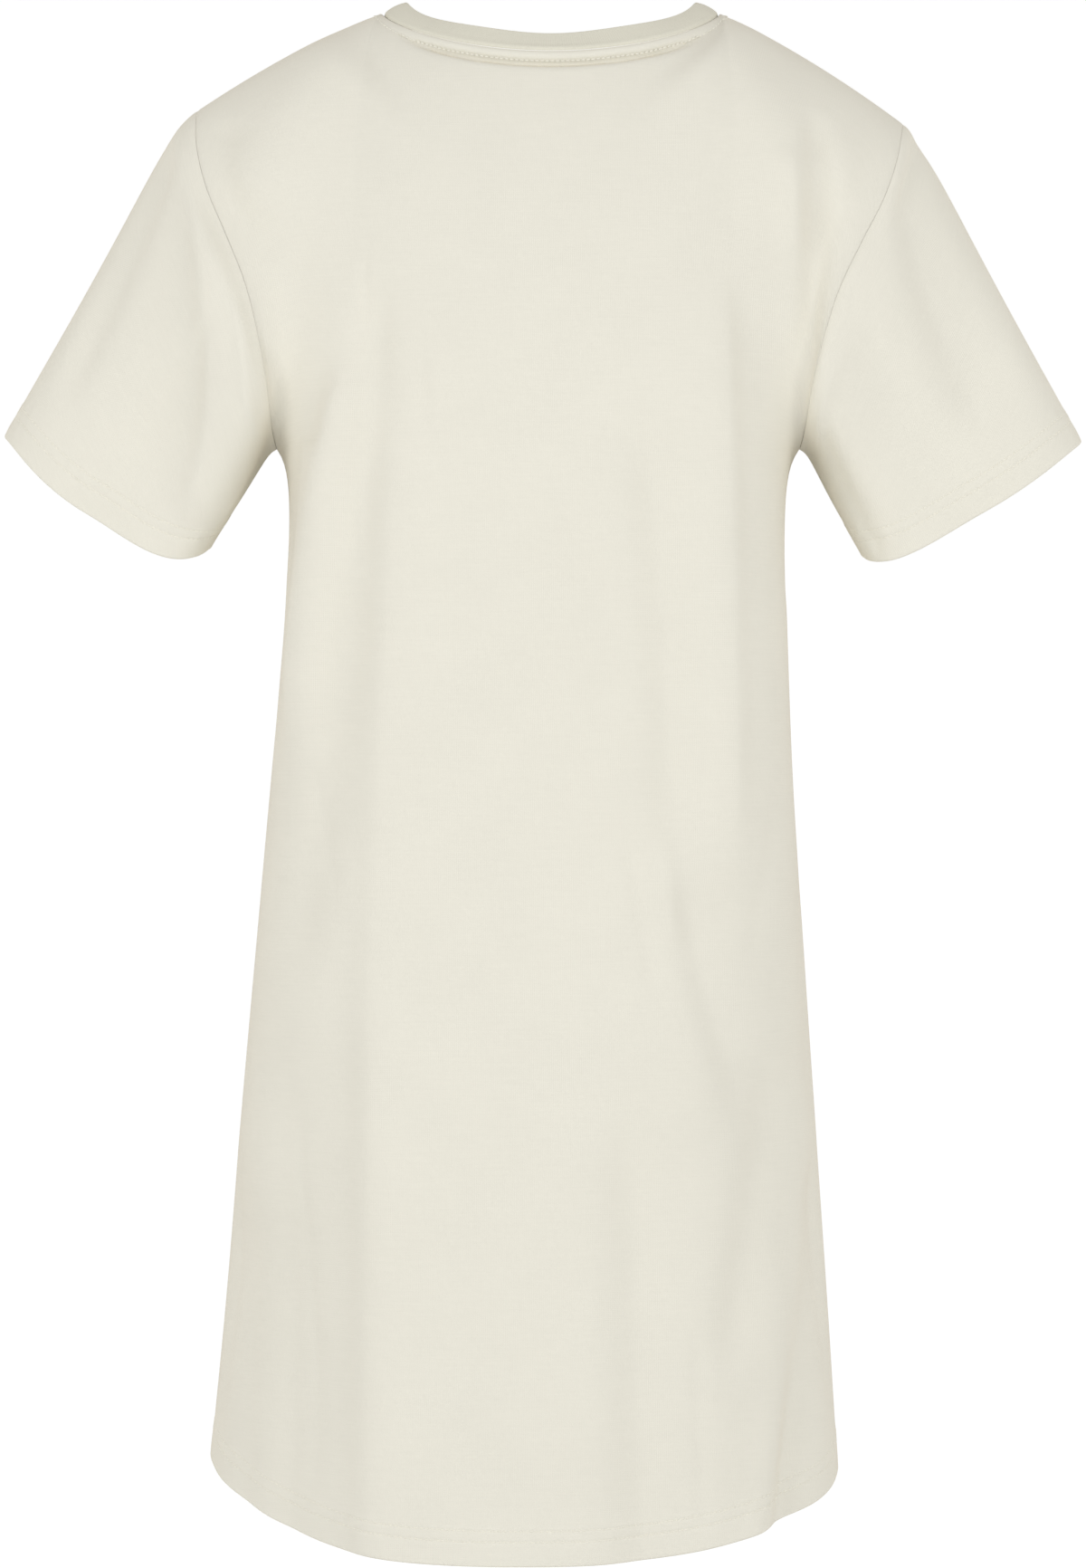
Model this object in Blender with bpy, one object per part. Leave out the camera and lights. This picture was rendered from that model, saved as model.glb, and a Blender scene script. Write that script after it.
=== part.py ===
"""T-shirt dress in cream jersey, hollow as if worn: back, front, two set-in sleeves and a neck rib.

The frame: +Z up, the wearer's front faces -Y and the wearer's left is +X. The origin is the centre of
the neck opening, level with the two points where the shoulder seams meet the neck rib.
All sizes below are in millimetres, and the meshes are in metres.
Each panel is one grid of points: columns run from the hem up to the shoulder or neck, and rows run from
side seam to side seam. The cloth is a wall between that grid and the same grid moved inwards.
"""

from collections import namedtuple

import bpy
import numpy as np

MM = 0.001

# Cloth and seams
SEAM_GAP = 0.3
JERSEY_WALL = 1.2
HEM_WALL = 2.0
HEM_DEPTH = 17.5
HEM_STEP = 2.0
RIB_WALL = 2.2
RIB_WIDTH = 15.5
RIB_LEAN = 0.45
RIB_SIDE_RISE = 0.40
RIB_BASE_BEVEL = 0.5
RIB_BEND_END = 0.33
# The rib's cross-section: how far up it, and the wall there
RIB_PROFILE = ((0.15, 2.0), (0.5, 2.2), (0.88, 2.2), (1.0, 1.3))

# Levels and widths of the body
ARMPIT_Z = -250.0
HEM_SIDE_Z = -831.0
HEM_DROP = 41.0
HEM_ROUNDNESS = 1.14
HEM_LEFT_RISE = 6.0
NECK_HALF_WIDTH = 96.5
SHOULDER_HALF_WIDTH = 202.5
SHOULDER_ROUNDING = 4.0
SHOULDER_TIP_Z = {"left": -55.5, "right": -63.5}
UNDERARM_FLARE = 8.0
UNDERARM_FLARE_HEIGHT = 11.0
TORSO_ROUNDNESS = 0.80
TOP_ROUNDNESS = 0.60
TOP_SPREAD = 52.0
NECK_COLUMN = 0.5
# How the grid's columns bend above the armpits: powers of the height and of the distance from the centre
ARMHOLE_ROUNDNESS = 7.0
COLUMN_EASE = 1.5
EDGE_ONLY = 6
EDGE_PULL = 3

# Cross-sections of the body, from the armpits down to below the hem. roundness is the power of the
# cosine that gives the depth: the lower it is, the flatter the middle and the sharper the sides.
Section = namedtuple("Section", "z centre half_width back_depth front_depth roundness")
SECTIONS = (
    Section(-250.0, 7.5, 142.0, 103.0, 110.0, 0.60),
    Section(-304.0, 8.3, 142.0, 103.0, 112.0, 0.60),
    Section(-356.0, 8.6, 143.8, 101.0, 112.0, 0.62),
    Section(-440.0, 11.0, 149.4, 100.0, 111.0, 0.66),
    Section(-540.0, 12.2, 157.3, 110.0, 116.0, 0.74),
    Section(-640.0, 13.3, 165.2, 119.0, 122.0, 0.82),
    Section(-740.0, 14.1, 172.8, 123.0, 127.0, 0.88),
    Section(-880.0, 16.8, 184.0, 126.0, 132.0, 0.92),
)

# The armhole edge of the body, from the armpit up to the shoulder tip
Armhole = namedtuple("Armhole", "z half_width")
ARMHOLE = (
    Armhole(-250.0, 150.0),
    Armhole(-225.0, 152.0),
    Armhole(-190.0, 158.5),
    Armhole(-160.0, 167.0),
    Armhole(-130.0, 180.0),
    Armhole(-105.0, 191.5),
    Armhole(-80.0, 199.0),
    Armhole(-55.0, 202.5),
)

# The two body panels. facing is the sign of Y. The neck reaches out and drops at its centre.
Panel = namedtuple(
    "Panel", "name facing neck_reach neck_drop neck_curve top_depth scoop columns lower upper"
)
BACK = Panel("back", 1.0, 58.0, 28.5, 1.4, 96.0, 0.0, 36, 24, 14)
FRONT = Panel("front", -1.0, 84.0, 92.0, 1.25, 104.0, 6.0, 30, 20, 12)

# Folds. Each runs through three points and is a ridge where height is above 0, a trough where below.
# width_left and width_right are how far it spreads to the wearer's left and right.
Fold = namedtuple("Fold", "name x1 z1 x2 z2 x3 z3 width_left width_right height")
BACK_FOLDS = (
    Fold("left plane edge", 84, -230, 97, -560, 106, -1040, 13, 30, 4.0),
    Fold("left hem step", 117, -520, 116, -760, 114, -1060, 22, 11, -2.5),
    Fold("left hem side", 150, -560, 150, -760, 152, -1060, 14, 34, -6.0),
    Fold("left side ridge", 112, -200, 131, -300, 148, -450, 10, 15, 7.0),
    Fold("left upper trough", 98, -150, 101, -230, 112, -330, 12, 12, -4.0),
    Fold("left long trough", 106, -280, 126, -434, 152, -570, 14, 16, -4.5),
    Fold("right plane edge", -94, -150, -98, -290, -104, -520, 28, 10, 5.0),
    Fold("right long trough", -52, -220, -66, -360, -70, -500, 15, 15, -5.5),
    Fold("right trough to the hip", -76, -480, -90, -560, -122, -640, 12, 34, -5.0),
    Fold("right lower diagonal", -128, -600, -120, -670, -98, -790, 13, 12, -4.5),
    Fold("right hem side", -130, -580, -136, -760, -134, -1060, 46, 14, -7.0),
    Fold("right side fold", -154, -640, -150, -750, -126, -920, 10, 12, -6.0),
    Fold("centre hem trough", -50, -680, -52, -790, -54, -1000, 26, 12, -7.0),
    Fold("left shoulder edge", 112, -16, 156, -62, 190, -120, 24, 40, 4.0),
    Fold("right shoulder edge", -98, -14, -140, -60, -178, -118, 40, 24, 4.0),
    Fold("right armhole trough", -146, -60, -149, -130, -145, -236, 10, 10, -5.0),
)
FRONT_FOLDS = (
    Fold("left armhole drag", 132, -170, 112, -280, 116, -420, 14, 14, -5.0),
    Fold("left hem fold", 104, -520, 106, -700, 108, -900, 14, 10, -5.0),
    Fold("left hem ridge", 82, -560, 82, -720, 84, -900, 12, 12, 3.0),
    Fold("centre trough", 18, -420, 14, -600, 10, -900, 18, 14, -4.0),
    Fold("centre ridge", -14, -480, -16, -640, -20, -900, 14, 16, 3.0),
    Fold("right long trough", -66, -220, -72, -380, -96, -560, 16, 14, -5.5),
    Fold("right armhole drag", -136, -180, -122, -270, -126, -380, 12, 12, -4.5),
    Fold("right hem fold", -108, -560, -104, -720, -98, -900, 13, 13, -5.0),
)
# Rows of the turned hem: its folded edge, its upper edge and the step to the single cloth
HEM_ROWS = 3
FOLD_STEPS = 33
FOLD_FADE = 0.22
EDGE_FADE = 0.12
TOP_FADE_ROWS = 3.0

# The sleeves. The cuff is an oval: its outer and inner ends are given, and the rest is worked out.
Sleeve = namedtuple(
    "Sleeve", "name side outer_x outer_z inner_x inner_z centre_y cuff_depth lean back_drop drop_at top_slope"
)
SLEEVE_LEFT = Sleeve(
    "sleeve_left", 1.0, 313.5, -240.0, 195.0, -305.5, -16.0, 46.0, 6.0, 15.0, 112.0, 33.0
)
SLEEVE_RIGHT = Sleeve(
    "sleeve_right", -1.0, -304.0, -243.0, -178.0, -310.5, -14.0, 46.0, 6.0, 8.0, 118.0, 40.0
)
SLEEVE_RINGS = 12
SLEEVE_START_PULL = 0.60
SLEEVE_START_FADE = 4
SLEEVE_END_PULL = 0.72
SLEEVE_UNDER_SLOPE = 62.0
SLEEVE_FILL = 0.50
SLEEVE_FILL_ROUNDNESS = 0.5
SLEEVE_SEAM_FLOW = 0.6
CUFF_ROUNDNESS = 0.65
CUFF_UNDER_BACK = 26.0

# Sleeve folds: around is millimetres from the top line, towards the back where above 0,
# and along is millimetres from the armhole.
SLEEVE_GIRTH = 380.0
SLEEVE_LENGTH = 205.0
LEFT_SLEEVE_FOLDS = (
    Fold("outer trough", 12, 10, 26, 90, 52, 200, 14, 14, -4.0),
    Fold("outer ridge", 44, 30, 56, 110, 72, 190, 16, 14, 2.5),
    Fold("middle trough", 70, 20, 116, 74, 134, 190, 12, 20, -4.0),
    Fold("inner ridge", 130, -30, 146, 58, 154, 170, 12, 16, 3.0),
    Fold("front trough", -70, 40, -74, 120, -70, 230, 14, 14, -4.0),
)
RIGHT_SLEEVE_FOLDS = (
    Fold("outer trough", 14, -20, 64, 60, 90, 170, 16, 15, -6.0),
    Fold("middle ridge", 92, 10, 110, 90, 112, 200, 20, 20, 3.0),
    Fold("front trough", -66, 40, -72, 120, -74, 230, 14, 14, -4.0),
)

# Colours of the cloth
JERSEY_COLOUR = (0.80, 0.78, 0.70, 1.0)
RIB_COLOUR = (0.76, 0.74, 0.66, 1.0)
CLOTH_ROUGHNESS = 0.9


def clear_scene():
    """Remove every object, so that the file holds the dress only."""
    for item in list(bpy.data.objects):
        bpy.data.objects.remove(item, do_unlink=True)


def cloth_material(name, colour):
    """A plain matt cloth."""
    material = bpy.data.materials.new(name)
    material.use_nodes = True
    shader = material.node_tree.nodes["Principled BSDF"]
    shader.inputs["Base Color"].default_value = colour
    shader.inputs["Roughness"].default_value = CLOTH_ROUGHNESS
    shader.inputs["Metallic"].default_value = 0.0
    return material


def ease(t):
    """0 to 1 with flat ends."""
    t = np.clip(t, 0.0, 1.0)
    return t * t * (3.0 - 2.0 * t)


def signed_power(value, power):
    """A power that keeps the sign."""
    return np.sign(value) * np.abs(value) ** power


def unit(vectors):
    """Vectors scaled to length 1."""
    return vectors / np.maximum(np.linalg.norm(vectors, axis=-1, keepdims=True), 1e-9)


def read_table(rows, column, at):
    """A column of a table whose first column is z, read at heights along a smooth curve."""
    z = np.array([row.z for row in rows])
    value = np.array([getattr(row, column) for row in rows])
    if z[0] > z[-1]:
        z = z[::-1]
        value = value[::-1]
    slope = np.gradient(value, z)
    at = np.clip(at, z[0], z[-1])
    index = np.clip(np.searchsorted(z, at) - 1, 0, len(z) - 2)
    span = z[index + 1] - z[index]
    t = (at - z[index]) / span
    start = (1.0 + 2.0 * t) * (1.0 - t) ** 2 * value[index]
    start_slope = t * (1.0 - t) ** 2 * span * slope[index]
    end = t * t * (3.0 - 2.0 * t) * value[index + 1]
    end_slope = t * t * (t - 1.0) * span * slope[index + 1]
    return start + start_slope + end + end_slope


def fold_height(folds, x, z):
    """The height of all folds at flat positions: each is a soft bell across a curved line."""
    total = np.zeros(np.shape(x))
    t = np.linspace(0.0, 1.0, FOLD_STEPS)
    for fold in folds:
        middle_x = 2.0 * fold.x2 - 0.5 * (fold.x1 + fold.x3)
        middle_z = 2.0 * fold.z2 - 0.5 * (fold.z1 + fold.z3)
        line_x = (1 - t) ** 2 * fold.x1 + 2 * t * (1 - t) * middle_x + t * t * fold.x3
        line_z = (1 - t) ** 2 * fold.z1 + 2 * t * (1 - t) * middle_z + t * t * fold.z3
        away_x = x[..., None] - line_x
        away_z = z[..., None] - line_z
        nearest = np.argmin(away_x ** 2 + away_z ** 2, axis=-1)
        near_x = np.take_along_axis(away_x, nearest[..., None], -1)[..., 0]
        near_z = np.take_along_axis(away_z, nearest[..., None], -1)[..., 0]
        width = np.where(near_x > 0.0, fold.width_left, fold.width_right)
        along = t[nearest]
        fade = ease(along / FOLD_FADE) * ease((1.0 - along) / FOLD_FADE)
        total = total + fold.height * fade * np.exp(-(near_x ** 2 + near_z ** 2) / width ** 2)
    return total


def top_line(panel, u):
    """The upper edge of a panel: the shoulder seams and, between them, the neck seam."""
    inside = np.abs(u) <= NECK_COLUMN
    turn = np.clip(u / NECK_COLUMN, -1.0, 1.0) * np.pi / 2.0
    reach = np.where(inside, np.cos(turn), 0.0)
    out = np.clip((np.abs(u) - NECK_COLUMN) / (1.0 - NECK_COLUMN), 0.0, 1.0)
    shoulder_x = NECK_HALF_WIDTH + out * (SHOULDER_HALF_WIDTH - NECK_HALF_WIDTH)
    tip_z = np.where(u > 0.0, SHOULDER_TIP_Z["left"], SHOULDER_TIP_Z["right"])
    shoulder_z = out * tip_z + 4.0 * SHOULDER_ROUNDING * out * (1.0 - out)
    x = np.where(inside, NECK_HALF_WIDTH * np.sin(turn), np.sign(u) * shoulder_x)
    y = panel.neck_reach * reach
    z = np.where(inside, -panel.neck_drop * reach ** panel.neck_curve, shoulder_z)
    return x, y, z


def depth_column(panel):
    """The table column with this panel's depths."""
    return "back_depth" if panel.facing > 0 else "front_depth"


def lower_points(panel, u, rise, part):
    """Points below the armpits: rise above the hem, then a part of the way to the armpits."""
    angle = u * np.pi / 2.0
    drop = HEM_DROP * np.abs(np.cos(angle)) ** HEM_ROUNDNESS
    hem_z = HEM_SIDE_Z - drop + HEM_LEFT_RISE * np.maximum(np.sin(angle), 0.0) ** 2
    z = hem_z + rise + (ARMPIT_Z - hem_z - rise) * part
    half_width = read_table(SECTIONS, "half_width", z)
    depth = read_table(SECTIONS, depth_column(panel), z)
    centre = read_table(SECTIONS, "centre", z)
    flare = UNDERARM_FLARE * np.exp((z - ARMPIT_Z) / UNDERARM_FLARE_HEIGHT) * signed_power(u, EDGE_ONLY)
    x = centre + half_width * signed_power(np.sin(angle), TORSO_ROUNDNESS) + flare
    y = depth * np.abs(np.cos(angle)) ** read_table(SECTIONS, "roundness", z)
    return x, y, z


def armhole_pull(panel, part):
    """How much wider the armhole edge is than a plain column would be."""
    tip_z = top_line(panel, np.array([1.0]))[2]
    edge_z = ARMPIT_Z + (tip_z - ARMPIT_Z) * np.sin(part * np.pi / 2.0)
    armpit = SECTIONS[0].half_width + UNDERARM_FLARE
    plain = armpit + (SHOULDER_HALF_WIDTH - armpit) * part ** COLUMN_EASE
    edge = read_table(ARMHOLE, "half_width", edge_z) - panel.scoop * np.sin(part * np.pi)
    return edge / plain


def upper_points(panel, u, part):
    """Points above the armpits: each column bends forwards over the shoulder like an arch."""
    top_x, top_y, top_z = top_line(panel, u)
    start_x, start_y, start_z = lower_points(panel, u, 0.0, 1.0)
    centre = SECTIONS[0].centre
    quick = 1.0 - (1.0 - part) ** ARMHOLE_ROUNDNESS
    spread = ease(part) + (quick - ease(part)) * np.abs(u) ** EDGE_ONLY
    angle = u * np.radians(90.0 - (90.0 - TOP_SPREAD) * spread)
    armpit_depth = getattr(SECTIONS[0], depth_column(panel))
    depth = armpit_depth + (panel.top_depth - armpit_depth) * ease(part)
    depth = depth * np.abs(np.cos(angle)) ** TOP_ROUNDNESS
    top_reach = panel.top_depth * np.cos(u * np.radians(TOP_SPREAD)) ** TOP_ROUNDNESS
    end = np.arccos(np.clip(top_y / top_reach, 0.0, 1.0))
    arch = part * end
    z = start_z + (top_z - start_z) * np.sin(arch) / np.sin(end)
    y = depth * np.cos(arch)
    across = start_x - centre + (top_x - start_x + centre) * part ** COLUMN_EASE
    pull = (armhole_pull(panel, part) - 1.0) * np.abs(u) ** EDGE_PULL
    x = across * (1.0 + pull) + centre * (1.0 - part)
    return x, y, z


def seam_side(panel, x, y, z):
    """Put the points on the panel's own side of the seams, half a gap away from them."""
    y = panel.facing * (y + SEAM_GAP / 2.0)
    return np.stack([x, y, z], axis=-1)


def grid_normals(points, closed=False):
    """Unit normals of a grid of rows and columns, from its neighbours' positions."""
    if closed:
        across = np.roll(points, -1, axis=1) - np.roll(points, 1, axis=1)
    else:
        across = np.gradient(points, axis=1)
    along = np.gradient(points, axis=0)
    return unit(np.cross(across, along))


def panel_points(panel, folds):
    """The panel's outer grid, its normals and the wall at each row."""
    u = np.linspace(-1.0, 1.0, panel.columns + 1)
    rows = []
    walls = []
    for rise in (0.0, HEM_DEPTH, HEM_DEPTH + HEM_STEP):
        rows.append(seam_side(panel, *lower_points(panel, u, rise, np.zeros_like(u))))
        walls.append(HEM_WALL if rise <= HEM_DEPTH else JERSEY_WALL)
    for step in range(1, panel.lower + 1):
        part = np.full_like(u, step / panel.lower)
        rows.append(seam_side(panel, *lower_points(panel, u, HEM_DEPTH + HEM_STEP, part)))
        walls.append(JERSEY_WALL)
    for step in range(1, panel.upper + 1):
        part = np.full_like(u, step / panel.upper)
        rows.append(seam_side(panel, *upper_points(panel, u, part)))
        walls.append(JERSEY_WALL)
    points = np.array(rows)
    normals = outward_normals(panel, u, points)
    from_edge = ease((1.0 - np.abs(u)) / EDGE_FADE)[None, :]
    from_top = ease(np.arange(len(rows))[::-1] / TOP_FADE_ROWS)[:, None]
    height = fold_height(folds, points[..., 0], points[..., 2]) * from_edge * from_top
    points = points + normals * height[..., None]
    return points, outward_normals(panel, u, points), np.array(walls)


def outward_normals(panel, u, points):
    """Normals that point out of the body, turned square to the side and shoulder seams."""
    normals = grid_normals(points)
    if np.sum(normals[..., 1]) * panel.facing < 0.0:
        normals = -normals
    side_rows = HEM_ROWS + panel.lower
    normals[:side_rows, 0, 1] = 0.0
    normals[:side_rows, -1, 1] = 0.0
    shoulder = np.abs(u) >= NECK_COLUMN
    normals[-1, shoulder, 1] = 0.0
    return unit(normals)


def inner_points(points, normals, walls):
    """The grid moved inwards by the wall of its row."""
    return points - normals * walls[:, None, None]


def wall_faces(rows, columns, closed):
    """Faces of a wall between an outer and an inner grid, with rims along the open edges."""
    count = rows * columns

    def outer(row, column):
        return row * columns + column % columns

    def inner(row, column):
        return count + outer(row, column)

    faces = []
    last = columns if closed else columns - 1
    for row in range(rows - 1):
        for column in range(last):
            faces.append((outer(row, column), outer(row, column + 1),
                          outer(row + 1, column + 1), outer(row + 1, column)))
            faces.append((inner(row, column), inner(row + 1, column),
                          inner(row + 1, column + 1), inner(row, column + 1)))
    for column in range(last):
        faces.append((outer(0, column), inner(0, column), inner(0, column + 1), outer(0, column + 1)))
        faces.append((outer(rows - 1, column), outer(rows - 1, column + 1),
                      inner(rows - 1, column + 1), inner(rows - 1, column)))
    if not closed:
        for row in range(rows - 1):
            faces.append((outer(row, 0), outer(row + 1, 0), inner(row + 1, 0), inner(row, 0)))
            faces.append((outer(row, columns - 1), inner(row, columns - 1),
                          inner(row + 1, columns - 1), outer(row + 1, columns - 1)))
    return faces


def signed_volume(points, faces):
    """The volume inside a closed mesh, below 0 where its faces point in."""
    total = 0.0
    for face in faces:
        first = points[face[0]]
        for step in range(1, len(face) - 1):
            total += np.dot(first, np.cross(points[face[step]], points[face[step + 1]]))
    return total / 6.0


def add_wall(name, outer, inner, material, closed=False):
    """One piece of cloth as a closed solid."""
    rows, columns = outer.shape[:2]
    points = np.concatenate([outer.reshape(-1, 3), inner.reshape(-1, 3)]) * MM
    faces = wall_faces(rows, columns, closed)
    if signed_volume(points, faces) < 0.0:
        faces = [tuple(reversed(face)) for face in faces]
    mesh = bpy.data.meshes.new(name)
    mesh.from_pydata(points.tolist(), [], faces)
    mesh.shade_smooth()
    mesh.set_sharp_from_angle(angle=np.radians(60.0))
    mesh.materials.append(material)
    item = bpy.data.objects.new(name, mesh)
    bpy.context.scene.collection.objects.link(item)
    return item


def add_panel(panel, folds, material):
    """A body panel; its outer grid, inner grid and normals are handed on to the pieces sewn to it."""
    points, normals, walls = panel_points(panel, folds)
    inner = inner_points(points, normals, walls)
    add_wall(panel.name, points, inner, material)
    return points, inner, normals


def armhole_loop(back, front, side):
    """The armhole edge as one ring: from the shoulder tip down the back, then up the front."""
    column = -1 if side > 0 else 0
    back_edge = back[HEM_ROWS + BACK.lower - 1:, column]
    front_edge = front[HEM_ROWS + FRONT.lower - 1:, column]
    tip = (back_edge[-1] + front_edge[-1]) / 2.0
    pit = (back_edge[0] + front_edge[0]) / 2.0
    down = back_edge[-2:0:-1]
    up = front_edge[1:-1]
    return np.concatenate([tip[None], down, pit[None], up])


def loop_fraction(loop, half):
    """How far round a ring each point is: 0 at the tip, 0.5 at the armpit, 1 back at the tip."""
    steps = np.linalg.norm(np.roll(loop, -1, axis=0) - loop, axis=1)
    run = np.concatenate([[0.0], np.cumsum(steps)[:-1]])
    whole = steps.sum()
    first = 0.5 * run / run[half]
    second = 0.5 + 0.5 * (run - run[half]) / (whole - run[half])
    return np.where(np.arange(len(loop)) <= half, first, second)


def cuff_ring(sleeve, fraction):
    """The cuff edge: an oval square to the sleeve's axis, a little lower at the back, with its underarm
    end set back, so that the sleeve's back is flat down to its lower edge."""
    outer = np.array([sleeve.outer_x, sleeve.centre_y, sleeve.outer_z])
    inner = np.array([sleeve.inner_x, sleeve.centre_y, sleeve.inner_z])
    long_way = unit(outer - inner)
    radius = np.linalg.norm(outer - inner) / 2.0
    lean = np.radians(sleeve.lean)
    flat_axis = np.array([-long_way[2], 0.0, long_way[0]])
    flat_axis = flat_axis * -np.sign(flat_axis[2])
    axis = flat_axis * np.cos(lean) + np.array([0.0, -np.sin(lean), 0.0])
    back_way = np.array([0.0, np.cos(lean), 0.0]) + flat_axis * np.sin(lean)
    angle = 2.0 * np.pi * fraction[:, None]
    ring = (outer + inner) / 2.0 + radius * signed_power(np.cos(angle), CUFF_ROUNDNESS) * long_way
    ring = ring + sleeve.cuff_depth * signed_power(np.sin(angle), CUFF_ROUNDNESS) * back_way
    under = (1.0 - np.cos(angle)) / 2.0
    ring = ring + CUFF_UNDER_BACK * under ** 2 * np.array([0.0, 1.0, 0.0])
    past_lowest = angle - np.radians(sleeve.drop_at)
    ring = ring + sleeve.back_drop * np.maximum(np.cos(past_lowest), 0.0) ** 2 * axis
    return ring, axis


def seam_frame(loop, loop_normals):
    """At each point of an edge: the direction that leaves the cloth in its own plane."""
    tangent = unit(np.roll(loop, -1, axis=0) - np.roll(loop, 1, axis=0))
    return unit(np.cross(tangent, loop_normals))


def seam_offset(leave, away):
    """The direction of the seam's gap: along the cloth, or square to a piece that turns back."""
    back = np.sum(leave * away, axis=-1, keepdims=True)
    return unit(leave - np.minimum(back, 0.0) * away)


def sleeve_start(sleeve, fraction):
    """The direction in which the sleeve leaves the armhole, steeper towards the underarm."""
    turn = 2.0 * np.pi * fraction
    under = (1.0 - np.cos(turn)) / 2.0
    slope = np.radians(sleeve.top_slope + (SLEEVE_UNDER_SLOPE - sleeve.top_slope) * under)
    fill = SLEEVE_FILL * signed_power(np.sin(turn), SLEEVE_FILL_ROUNDNESS)
    return unit(np.stack([sleeve.side * np.cos(slope), fill, -np.sin(slope)], axis=-1))


def sleeve_levels():
    """Places along the sleeve from 0 to 1, with two close ones where the turned hem begins."""
    hem = HEM_DEPTH / SLEEVE_LENGTH
    step = HEM_STEP / SLEEVE_LENGTH
    body = np.linspace(0.0, 1.0 - hem - step, SLEEVE_RINGS + 1)
    return np.concatenate([body, [1.0 - hem, 1.0]])


def add_sleeve(sleeve, folds, back, front, material):
    """A set-in sleeve: lines run from the armhole to the cuff, leaving both ends squarely."""
    loop = armhole_loop(back[0], front[0], sleeve.side)
    loop_normals = unit(armhole_loop(back[2], front[2], sleeve.side))
    half = BACK.upper
    fraction = loop_fraction(loop, half)
    away = sleeve_start(sleeve, fraction)
    leave = seam_frame(loop, loop_normals)
    leave = leave * np.sign(np.sum(leave[:, 0]) * sleeve.side)
    start = loop + SEAM_GAP * seam_offset(leave, away)
    away = unit(away + SLEEVE_SEAM_FLOW * leave)
    end, axis = cuff_ring(sleeve, fraction)
    reach = np.linalg.norm(end - start, axis=1, keepdims=True)
    level = sleeve_levels()[:, None, None]
    points = (1.0 + 2.0 * level) * (1.0 - level) ** 2 * start
    points = points + level * (1.0 - level) ** SLEEVE_START_FADE * SLEEVE_START_PULL * reach * away
    points = points + level * level * (3.0 - 2.0 * level) * end
    points = points + level * level * (level - 1.0) * SLEEVE_END_PULL * reach * axis
    normals = grid_normals(points, closed=True)
    centre = points.mean(axis=1, keepdims=True)
    if np.sum(normals * (points - centre)) < 0.0:
        normals = -normals
    around = np.where(fraction <= 0.5, fraction, fraction - 1.0) * SLEEVE_GIRTH
    flat_around = np.broadcast_to(around, points.shape[:2])
    flat_along = np.broadcast_to(level[:, :, 0] * SLEEVE_LENGTH, points.shape[:2])
    height = fold_height(folds, flat_around, flat_along) * ease(level[:, :, 0] / EDGE_FADE)
    points = points + normals * height[..., None]
    normals = grid_normals(points, closed=True)
    if np.sum(normals * (points - centre)) < 0.0:
        normals = -normals
    turns_in = np.sum(normals[0] * leave, axis=1, keepdims=True) > 0.0
    normals[0] = np.where(turns_in, loop_normals, normals[0])
    walls = np.full(len(points), JERSEY_WALL)
    walls[-2:] = HEM_WALL
    add_wall(sleeve.name, points, inner_points(points, normals, walls), material, closed=True)


def neck_loop(back, front):
    """The neck edge as one ring: the back edge from right to left, then the front edge."""
    def edge(panel, grid):
        first = round(panel.columns * (1.0 - NECK_COLUMN) / 2.0)
        return grid[-1, first:panel.columns - first + 1]

    back_edge = edge(BACK, back)
    front_edge = edge(FRONT, front)[::-1]
    left = (back_edge[-1] + front_edge[0]) / 2.0
    right = (back_edge[0] + front_edge[-1]) / 2.0
    return np.concatenate([right[None], back_edge[1:-1], left[None], front_edge[1:-1]])


def add_neck_rib(back, front, material):
    """The neck rib: a folded band that stands up and leans in from the neck seam."""
    loop = neck_loop(back[0], front[0])
    loop_normals = unit(neck_loop(back[2], front[2]))
    leave = seam_frame(loop, loop_normals)
    leave = leave * np.sign(np.sum(leave[:, 2]))
    start = loop + SEAM_GAP * leave
    inwards = unit(-loop * np.array([1.0, 1.0, 0.0]))
    lean = leave + RIB_LEAN * inwards[:, 1:2] ** 2 * inwards
    lean[:, 2] += RIB_SIDE_RISE * inwards[:, 0] ** EDGE_ONLY
    lean = unit(lean)
    rib_normals = unit(np.cross(lean, np.roll(loop, -1, axis=0) - np.roll(loop, 1, axis=0)))
    if np.sum(rib_normals * loop_normals) < 0.0:
        rib_normals = -rib_normals
    outer = [start]
    inner = [start - loop_normals * JERSEY_WALL + leave * RIB_BASE_BEVEL]
    for part, wall in RIB_PROFILE:
        way = unit(leave + (lean - leave) * ease(part / RIB_BEND_END))
        place = start + RIB_WIDTH * part * way
        bulge = (RIB_WALL - wall) / 2.0
        outer.append(place - rib_normals * bulge)
        inner.append(place - rib_normals * (bulge + wall))
    add_wall("neck_rib", np.array(outer), np.array(inner), material, closed=True)


def build():
    """Make the five pieces of cloth."""
    clear_scene()
    jersey = cloth_material("cream jersey", JERSEY_COLOUR)
    rib = cloth_material("cream rib", RIB_COLOUR)
    back = add_panel(BACK, BACK_FOLDS, jersey)
    front = add_panel(FRONT, FRONT_FOLDS, jersey)
    add_sleeve(SLEEVE_LEFT, LEFT_SLEEVE_FOLDS, back, front, jersey)
    add_sleeve(SLEEVE_RIGHT, RIGHT_SLEEVE_FOLDS, back, front, jersey)
    add_neck_rib(back, front, rib)


build()
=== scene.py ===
"""Looks of a t-shirt dress in cream cotton jersey, hollow as if worn.

The frame: metres, +Z up, the wearer's front faces -Y and the wearer's left is +X. The origin is the centre
of the neck opening. Sizes in the tables are millimetres. Each sheet of cloth is one grid of points, a
function of a place across it and a place along it, with the folds added along its normals.
"""

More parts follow.
